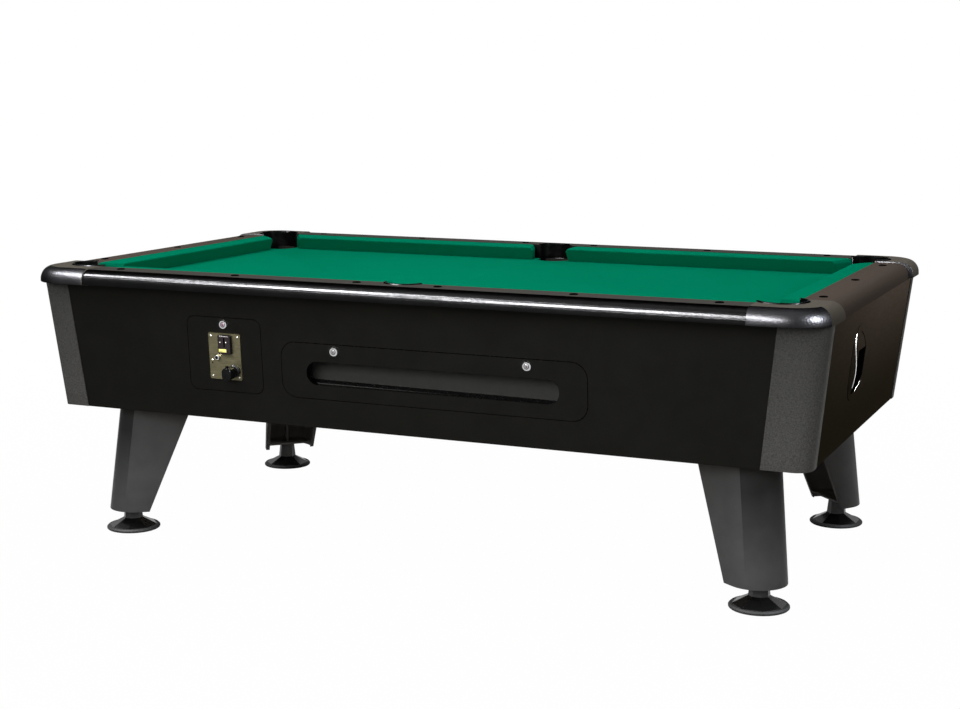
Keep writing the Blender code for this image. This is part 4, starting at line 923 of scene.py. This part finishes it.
def make_cushions(cloth):
    for word, outward in (("front", FORWARD), ("rear", -FORWARD)):
        low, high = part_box(f"cushion_{word}_right")
        middle = low.x
        corner = high.x - CORNER_JAW
        ends = ((middle, -SIDE_JAW), (corner, CORNER_JAW))
        make_cushion(f"cushion_{word}_right", SIDEWAYS, outward, FIELD_Y, *ends, cloth)
        ends = ((-corner, CORNER_JAW), (-middle, -SIDE_JAW))
        make_cushion(f"cushion_{word}_left", SIDEWAYS, outward, FIELD_Y, *ends, cloth)
    for word, outward in (("left", -SIDEWAYS), ("right", SIDEWAYS)):
        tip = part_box(f"cushion_{word}_end")[1].y - CORNER_JAW
        ends = ((-tip, CORNER_JAW), (tip, CORNER_JAW))
        make_cushion(f"cushion_{word}_end", -FORWARD, outward, FIELD_X, *ends, cloth)


# Bed cloth

def pocket_centres():
    """Middles of the six pockets, in plan."""
    centres = [Vector((0, s * (FIELD_Y + SIDE_CUT_OUT), 0)) for s in (1, -1)]
    for sx in (1, -1):
        for sy in (1, -1):
            centres.append(Vector((sx * (FIELD_X + CORNER_CUT_OUT), sy * (FIELD_Y + CORNER_CUT_OUT), 0)))
    return centres


def cloth_top():
    """The upper face of the carried-over cloth, with few faces."""
    bm = bmesh.new()
    bm.from_mesh(NODES["bed_cloth"].data)
    bmesh.ops.remove_doubles(bm, verts=bm.verts, dist=MERGE)
    lower = [f for f in bm.faces if f.normal.z < UPPER_FACE]
    bmesh.ops.delete(bm, geom=lower, context="FACES")
    bmesh.ops.dissolve_limit(bm, angle_limit=FLAT_ANGLE, verts=bm.verts, edges=bm.edges)
    return bm


def pocket_rim(bm, reach):
    """Edges of the cloth that lie round the pockets, away from its straight sides."""
    rim = []
    for edge in bm.edges:
        middle = (edge.verts[0].co + edge.verts[1].co) / 2
        inside = abs(middle.x) < reach.x - RIM_MARGIN and abs(middle.y) < reach.y - RIM_MARGIN
        if edge.is_boundary and inside:
            rim.append(edge)
    return rim


def make_bed_cloth(cloth):
    """The bed cloth, stretched over the slate and turned down into the pockets."""
    low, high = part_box("bed_cloth")
    bm = cloth_top()
    rim = pocket_rim(bm, high)
    centres = pocket_centres()
    steps = [(CLOTH_BEND * (1 - math.cos(a)), CLOTH_TURN * math.sin(a)) for a in BEND_ANGLES]
    steps.append((CLOTH_FLAP, CLOTH_TURN))
    last_drop = 0.0
    last_inward = 0.0
    for drop, inward in steps:
        grown = bmesh.ops.extrude_edge_only(bm, edges=rim)["geom"]
        for vert in [g for g in grown if isinstance(g, bmesh.types.BMVert)]:
            spot = Vector((vert.co.x, vert.co.y, 0))
            centre = min(centres, key=lambda c: (c - spot).length)
            vert.co += (centre - spot).normalized() * (inward - last_inward) - UP * (drop - last_drop)
        rim = [g for g in grown if isinstance(g, bmesh.types.BMEdge)]
        last_drop = drop
        last_inward = inward
    piece = new_object("bed_cloth_sheet", bm, cloth, "cabinet", CLOTH_CREASE)
    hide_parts("bed_cloth")


# Rail caps and coin fittings

def make_rail_caps():
    """Press-in caps over the rail screws, each with a shallow dimple."""
    profile = [
        (0, CAP_HEIGHT * 0.75), (CAP_DIMPLE, CAP_HEIGHT * 0.8), (CAP_RADIUS * 0.75, CAP_HEIGHT),
        (CAP_RADIUS * 0.93, CAP_HEIGHT * 0.8), (CAP_RADIUS, CAP_HEIGHT * 0.2), (CAP_RADIUS, 0), (0, 0),
    ]
    bm = bmesh.new()
    low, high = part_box("long_rail_rear")
    for x in LONG_CAPS:
        for sx in (1, -1):
            for sy in (1, -1):
                place = Matrix.Translation((sx * x, sy * (low.y + CAP_LINE), high.z))
                lathe(bm, profile, CAP_SIDES, place)
    low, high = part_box("end_rail_right")
    for y in END_CAPS:
        for sx in (1, -1):
            place = Matrix.Translation((sx * (low.x + CAP_LINE), y, high.z))
            lathe(bm, profile, CAP_SIDES, place)
    black = plastic_finish("cap_black", Colour.rail_cap, 0.6, 0.0)
    new_object("rail_screw_caps", bm, black, "cabinet")


def screw(bm, place, radius=SCREW_RADIUS, height=SCREW_HEIGHT):
    """A domed screw head."""
    profile = [
        (0, height), (radius * 0.5, height * 0.93), (radius * 0.85, height * 0.62),
        (radius, height * 0.1), (radius, 0), (0, 0),
    ]
    lathe(bm, profile, SCREW_SIDES, place)


def make_plate_trim(steel, rubber):
    """Screws on the coin plate, a brass one beside them, and the dark dot under it."""
    place = face_frame("coin_plate")
    bm = bmesh.new()
    for sx in (1, -1):
        for sy in (1, -1):
            screw(bm, at(place, (sx * PLATE_SCREWS[0], sy * PLATE_SCREWS[1])))
    new_object("coin_plate_screws", bm, steel, "coin_door")
    bm = bmesh.new()
    screw(bm, at(place, SPARE_SCREW))
    brass = metal_finish("screw_brass", Colour.screw_brass, 0.35)
    new_object("coin_plate_spare_screw", bm, brass, "coin_door")
    bm = bmesh.new()
    screw(bm, at(place, SPARE_DOT), DOT_RADIUS, DOT_HEIGHT)
    # a dark dot under the brass screw
    new_object("coin_plate_dark_dot", bm, rubber, "coin_door")


def make_bezel_face(place):
    """Thin brown-black face of the coin bezel, with the coin slot through it."""
    outer = rounded((0, 0), *BEZEL_FACE, BEZEL_FACE_CORNER)
    inner = rounded((0, BEZEL_SLOT_RISE), *BEZEL_SLOT, BEZEL_SLOT[0] * BEZEL_SLOT_CORNER)
    steps = (
        (outer, 0, 0), (outer, 0, BEZEL_WALL), (outer, BEZEL_ROUND, BEZEL_THICK),
        (inner, 0, BEZEL_THICK), (inner, 0, 0),
    )
    rings = []
    for outline, inset, lift in steps:
        ring = []
        for x, y in outline:
            pull = 1 - inset / Vector((x, y)).length
            ring.append(place @ Vector((x * pull, y * pull, lift)))
        rings.append(ring)
    bm = bmesh.new()
    bridge(bm, rings)
    face = plastic_finish("bezel_face", Colour.bezel_face, 0.45, 0.05)
    new_object("coin_bezel_face", bm, face, "coin_door")


def make_bezel_trim(steel):
    """The coin bezel's face, and the screws, strip and blank label on it."""
    place = face_frame("coin_entry_bezel")
    make_bezel_face(place)
    top = place @ Matrix.Translation((0, 0, BEZEL_THICK))
    bm = bmesh.new()
    for spot in BEZEL_SCREWS:
        screw(bm, at(top, spot), *BEZEL_SCREW)
    new_object("coin_bezel_screws", bm, steel, "coin_door")
    bm = bmesh.new()
    outline = rounded((0, BEZEL_STRIP_RISE), *BEZEL_STRIP, BEZEL_STRIP_CORNER)
    slab(bm, outline, 0, BEZEL_STRIP_HEIGHT, top, BEZEL_STRIP_ROUND)
    dull = metal_finish("bezel_strip", Colour.bezel_strip, 0.4)
    new_object("coin_bezel_strip", bm, dull, "coin_door")
    bm = bmesh.new()
    slab(bm, rounded(LABEL_PLACE, *LABEL, LABEL_CORNER), 0, LABEL_HEIGHT, top, LABEL_ROUND)
    new_object("coin_bezel_label", bm, label_finish(), "coin_door")


def make_button_centre(plastic):
    bm = bmesh.new()
    screw(bm, face_frame("return_button"), BUTTON_DISH, BUTTON_DISH_HEIGHT)
    new_object("return_button_centre", bm, plastic, "return_button")


def make_lock_faces(rubber):
    """Plug of each cam lock, with dark rubber pieces as painted shade: the keyhole and the groove round the
    plug.
    """
    grey_plug = metal_finish("lock_plug_grey", Colour.plug_grey, 0.25)
    red_plug = metal_finish("lock_plug_red", Colour.plug_red, 0.25)
    plugs = {"ball_door_lock_left": grey_plug, "ball_door_lock_right": grey_plug, "coin_door_lock": red_plug}
    profile = [
        (0, PLUG_HEIGHT), (PLUG_RADIUS * PLUG_FLAT, PLUG_HEIGHT), (PLUG_RADIUS, PLUG_WALL),
        (PLUG_RADIUS, 0), (0, 0),
    ]
    keyhole = rounded((0, 0), *KEYHOLE, KEYHOLE[0] * KEYHOLE_CORNER, KEYHOLE_STEPS)
    for lock, plug in plugs.items():
        place = face_frame(lock)
        bm = bmesh.new()
        lathe(bm, profile, PLUG_SIDES, place)
        new_object(f"{lock}_plug", bm, plug, lock)
        bm = bmesh.new()
        # painted shade: dark groove ring and keyhole slab
        screw(bm, place, PLUG_RADIUS + PLUG_GROOVE, GROOVE_HEIGHT)
        slab(bm, keyhole, PLUG_HEIGHT, PLUG_HEIGHT + KEYHOLE_RISE, place, KEYHOLE_ROUND)
        new_object(f"{lock}_keyhole", bm, rubber, lock)


# Cue-ball outlet

def face_foot(node):
    """How far out the foot of an end panel lies."""
    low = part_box(node)[0].z
    return max(v.co.x for v in NODES[node].data.vertices if v.co.z < low + FOOT_MARGIN)


def lip_point(share, side, grow=OUTLET_CREST, lip=OUTLET_LIP, back=0.0):
    """A point on the outlet's lip, this share of half its height above its middle."""
    low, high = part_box("right_end_panel")
    y, z = OUTLET_MIDDLE
    radius = OUTLET_SIZE[0] / 2 + grow
    reach = OUTLET_SIZE[1] / 2 + grow
    rise = share * reach
    over = max(0.0, abs(rise) - (reach - radius))
    half = math.sqrt(max(0.0, radius ** 2 - over ** 2))
    lean = (high.x - face_foot("right_end_panel")) / (high.z - low.z)
    face = high.x - lean * (high.z - z - rise)
    proud = OUTLET_PROUD + lip * (1 - share ** 2)
    return Vector((face + proud - back, y + side * half, z + rise))


def make_outlet_beads():
    """Painted highlight: bright beads along the outlet's lip where it shows a highlight, a long one in front
    and a short one behind its lower end.
    """
    bm = bmesh.new()
    beads = ((-1, NEAR_HIGHLIGHT, NEAR_FLANK, NEAR_RADIUS), (1, FAR_HIGHLIGHT, FAR_FLANK, FAR_RADIUS))
    for side, (start, end), (upper, lower), radius in beads:
        points = []
        for i in range(BEAD_STEPS + 1):
            share = i / BEAD_STEPS
            flank = lower + (upper - lower) * (1 - share) ** 2
            grow = OUTLET_CREST + LIP_FLANK * flank
            points.append(lip_point(start + (end - start) * share, side, grow, OUTLET_LIP * (1 - flank)))
        tube(bm, points, radius)
    highlight = metal_finish("outlet_highlight_bead", Colour.outlet_highlight_bead, 0.40)
    new_object("outlet_highlight_bead", bm, highlight, "cabinet")


def make_outlet_hood(board):
    """The small board that closes the outlet's upper end."""
    rows = []
    for i in range(HOOD_STEPS + 1):
        share = HOOD_SPAN[0] + (HOOD_SPAN[1] - HOOD_SPAN[0]) * i / HOOD_STEPS
        row = []
        for back in (HOOD_SET_BACK, 2 * HOOD_SET_BACK):
            near = lip_point(share, -1, back=back)
            far = lip_point(share, 1, back=back)
            across = [near.lerp(far, k / HOOD_ACROSS) for k in range(HOOD_ACROSS + 1)]
            row += across if back == HOOD_SET_BACK else across[::-1]
        rows.append(row)
    bm = bmesh.new()
    loft(bm, rows)
    new_object("outlet_hood", bm, board, "cabinet")


# Stage

def make_camera():
    data = bpy.data.cameras.new("camera")
    data.lens = CAMERA_LENS
    data.sensor_width = CAMERA_SENSOR
    camera = bpy.data.objects.new("camera", data)
    COLLECTION.objects.link(camera)
    camera.location = CAMERA_PLACE
    camera.rotation_euler = CAMERA_AIM.to_track_quat("-Z", "Y").to_euler()
    bpy.context.scene.camera = camera


def seen_directly(tree):
    """1 for rays from the camera, or from it by way of a mirror or glass."""
    path = tree.nodes.new("ShaderNodeLightPath")
    share = path.outputs["Is Camera Ray"]
    for name in ("Is Glossy Ray", "Is Transmission Ray"):
        either = tree.nodes.new("ShaderNodeMath")
        either.operation = "MAXIMUM"
        tree.links.new(share, either.inputs[0])
        tree.links.new(path.outputs[name], either.inputs[1])
        share = either.outputs[0]
    return share


def make_world():
    """White where it is seen, dim where it lights."""
    world = bpy.data.worlds.new("studio")
    world.use_nodes = True
    tree = world.node_tree
    ambient = tree.nodes["Background"]
    ambient.inputs["Strength"].default_value = AMBIENT
    white = tree.nodes.new("ShaderNodeBackground")
    for shade in (ambient, white):
        shade.inputs["Color"].default_value = (1, 1, 1, 1)
    mix = tree.nodes.new("ShaderNodeMixShader")
    tree.links.new(seen_directly(tree), mix.inputs[0])
    tree.links.new(ambient.outputs[0], mix.inputs[1])
    tree.links.new(white.outputs[0], mix.inputs[2])
    tree.links.new(mix.outputs[0], tree.nodes["World Output"].inputs["Surface"])
    bpy.context.scene.world = world


def make_floor():
    """Pale floor that keeps a trace of the table's shadow and fades to white away from it."""
    made = Finish("floor", 0.9, specular=0.0)
    made.tinted(Colour.floor, 0.4, 0.01)
    white = made.node("Emission", {"Color": (1, 1, 1, 1), "Strength": 1.0})
    away = made.node("VectorMath", {0: made.coords}, operation="LENGTH").outputs["Value"]
    share = made.spread(away, FLOOR_GLOW, 1.0, FLOOR_NEAR, FLOOR_FAR)
    share = made.product(share, seen_directly(made.tree))
    mix = made.node("MixShader", {0: share, 1: made.shader.outputs[0], 2: white.outputs[0]})
    made.tree.links.new(mix.outputs[0], made.tree.nodes["Material Output"].inputs["Surface"])
    bm = bmesh.new()
    bmesh.ops.create_circle(bm, cap_ends=True, radius=FLOOR_REACH, segments=FLOOR_SIDES)
    mesh = bpy.data.meshes.new("floor")
    bm.to_mesh(mesh)
    bm.free()
    mesh.materials.append(made.material)
    floor = bpy.data.objects.new("floor", mesh)
    COLLECTION.objects.link(floor)


def aim(along, toward):
    """Axes of a light with its length along one way, facing another as far as it can."""
    first = along.normalized()
    third = -(toward - first * toward.dot(first)).normalized()
    return Matrix((first, third.cross(first), third))


def make_light(name, place, axes, size, power, colour=(1, 1, 1)):
    data = bpy.data.lights.new(name, "AREA")
    data.shape = "RECTANGLE"
    data.size, data.size_y = size
    data.energy = power
    data.color = colour
    light = bpy.data.objects.new(name, data)
    COLLECTION.objects.link(light)
    light.matrix_world = Matrix.Translation(place) @ axes.transposed().to_4x4()
    light.visible_camera = False
    return light


def make_lights():
    make_light("overhead", OVERHEAD_PLACE, aim(SIDEWAYS, -UP), OVERHEAD_SIZE, OVERHEAD_POWER)
    run = TUBE_END - TUBE_START
    place = (TUBE_START + TUBE_END) / 2
    strip = make_light("strip", place, aim(run, TUBE_TARGET - place), (run.length, TUBE_WIDTH), TUBE_POWER)
    axes = aim(-FORWARD, RIGHT_TARGET - RIGHT_PLACE)
    right = make_light("right", RIGHT_PLACE, axes, RIGHT_SIZE, RIGHT_POWER, RIGHT_TINT)
    for light in (strip, right):
        light.visible_diffuse = False
    rear = make_light("rear", REAR_PLACE, aim(-FORWARD, REAR_TARGET - REAR_PLACE), REAR_SIZE, REAR_POWER)
    fill = make_light("fill", FILL_PLACE, aim(SIDEWAYS, FILL_TARGET - FILL_PLACE), FILL_SIZE, FILL_POWER)
    for light in (rear, fill):
        light.visible_glossy = False


make_camera()
make_world()
make_floor()
make_lights()

finishes = make_finishes()
cloth = finishes["green_cloth"]
rubber = finishes["black_rubber"]
end_board = end_board_finish()
dress_by_slot(finishes)
dress_rails(end_board)
dress_corners()
dress_openings(rubber, end_board)
give("coin_plate", metal_finish("coin_plate", Colour.coin_plate, 0.36, (30, 1, 1), 0.0008))
soften_edges()

make_cushions(cloth)
make_bed_cloth(cloth)
make_rail_caps()
screw_steel = metal_finish("screw_steel", Colour.screw_steel, 0.3)
make_plate_trim(screw_steel, rubber)
make_bezel_trim(screw_steel)
make_button_centre(finishes["black_plastic"])
make_lock_faces(rubber)
make_outlet_beads()
make_outlet_hood(end_board)

bpy.context.scene.view_settings.view_transform = "Standard"
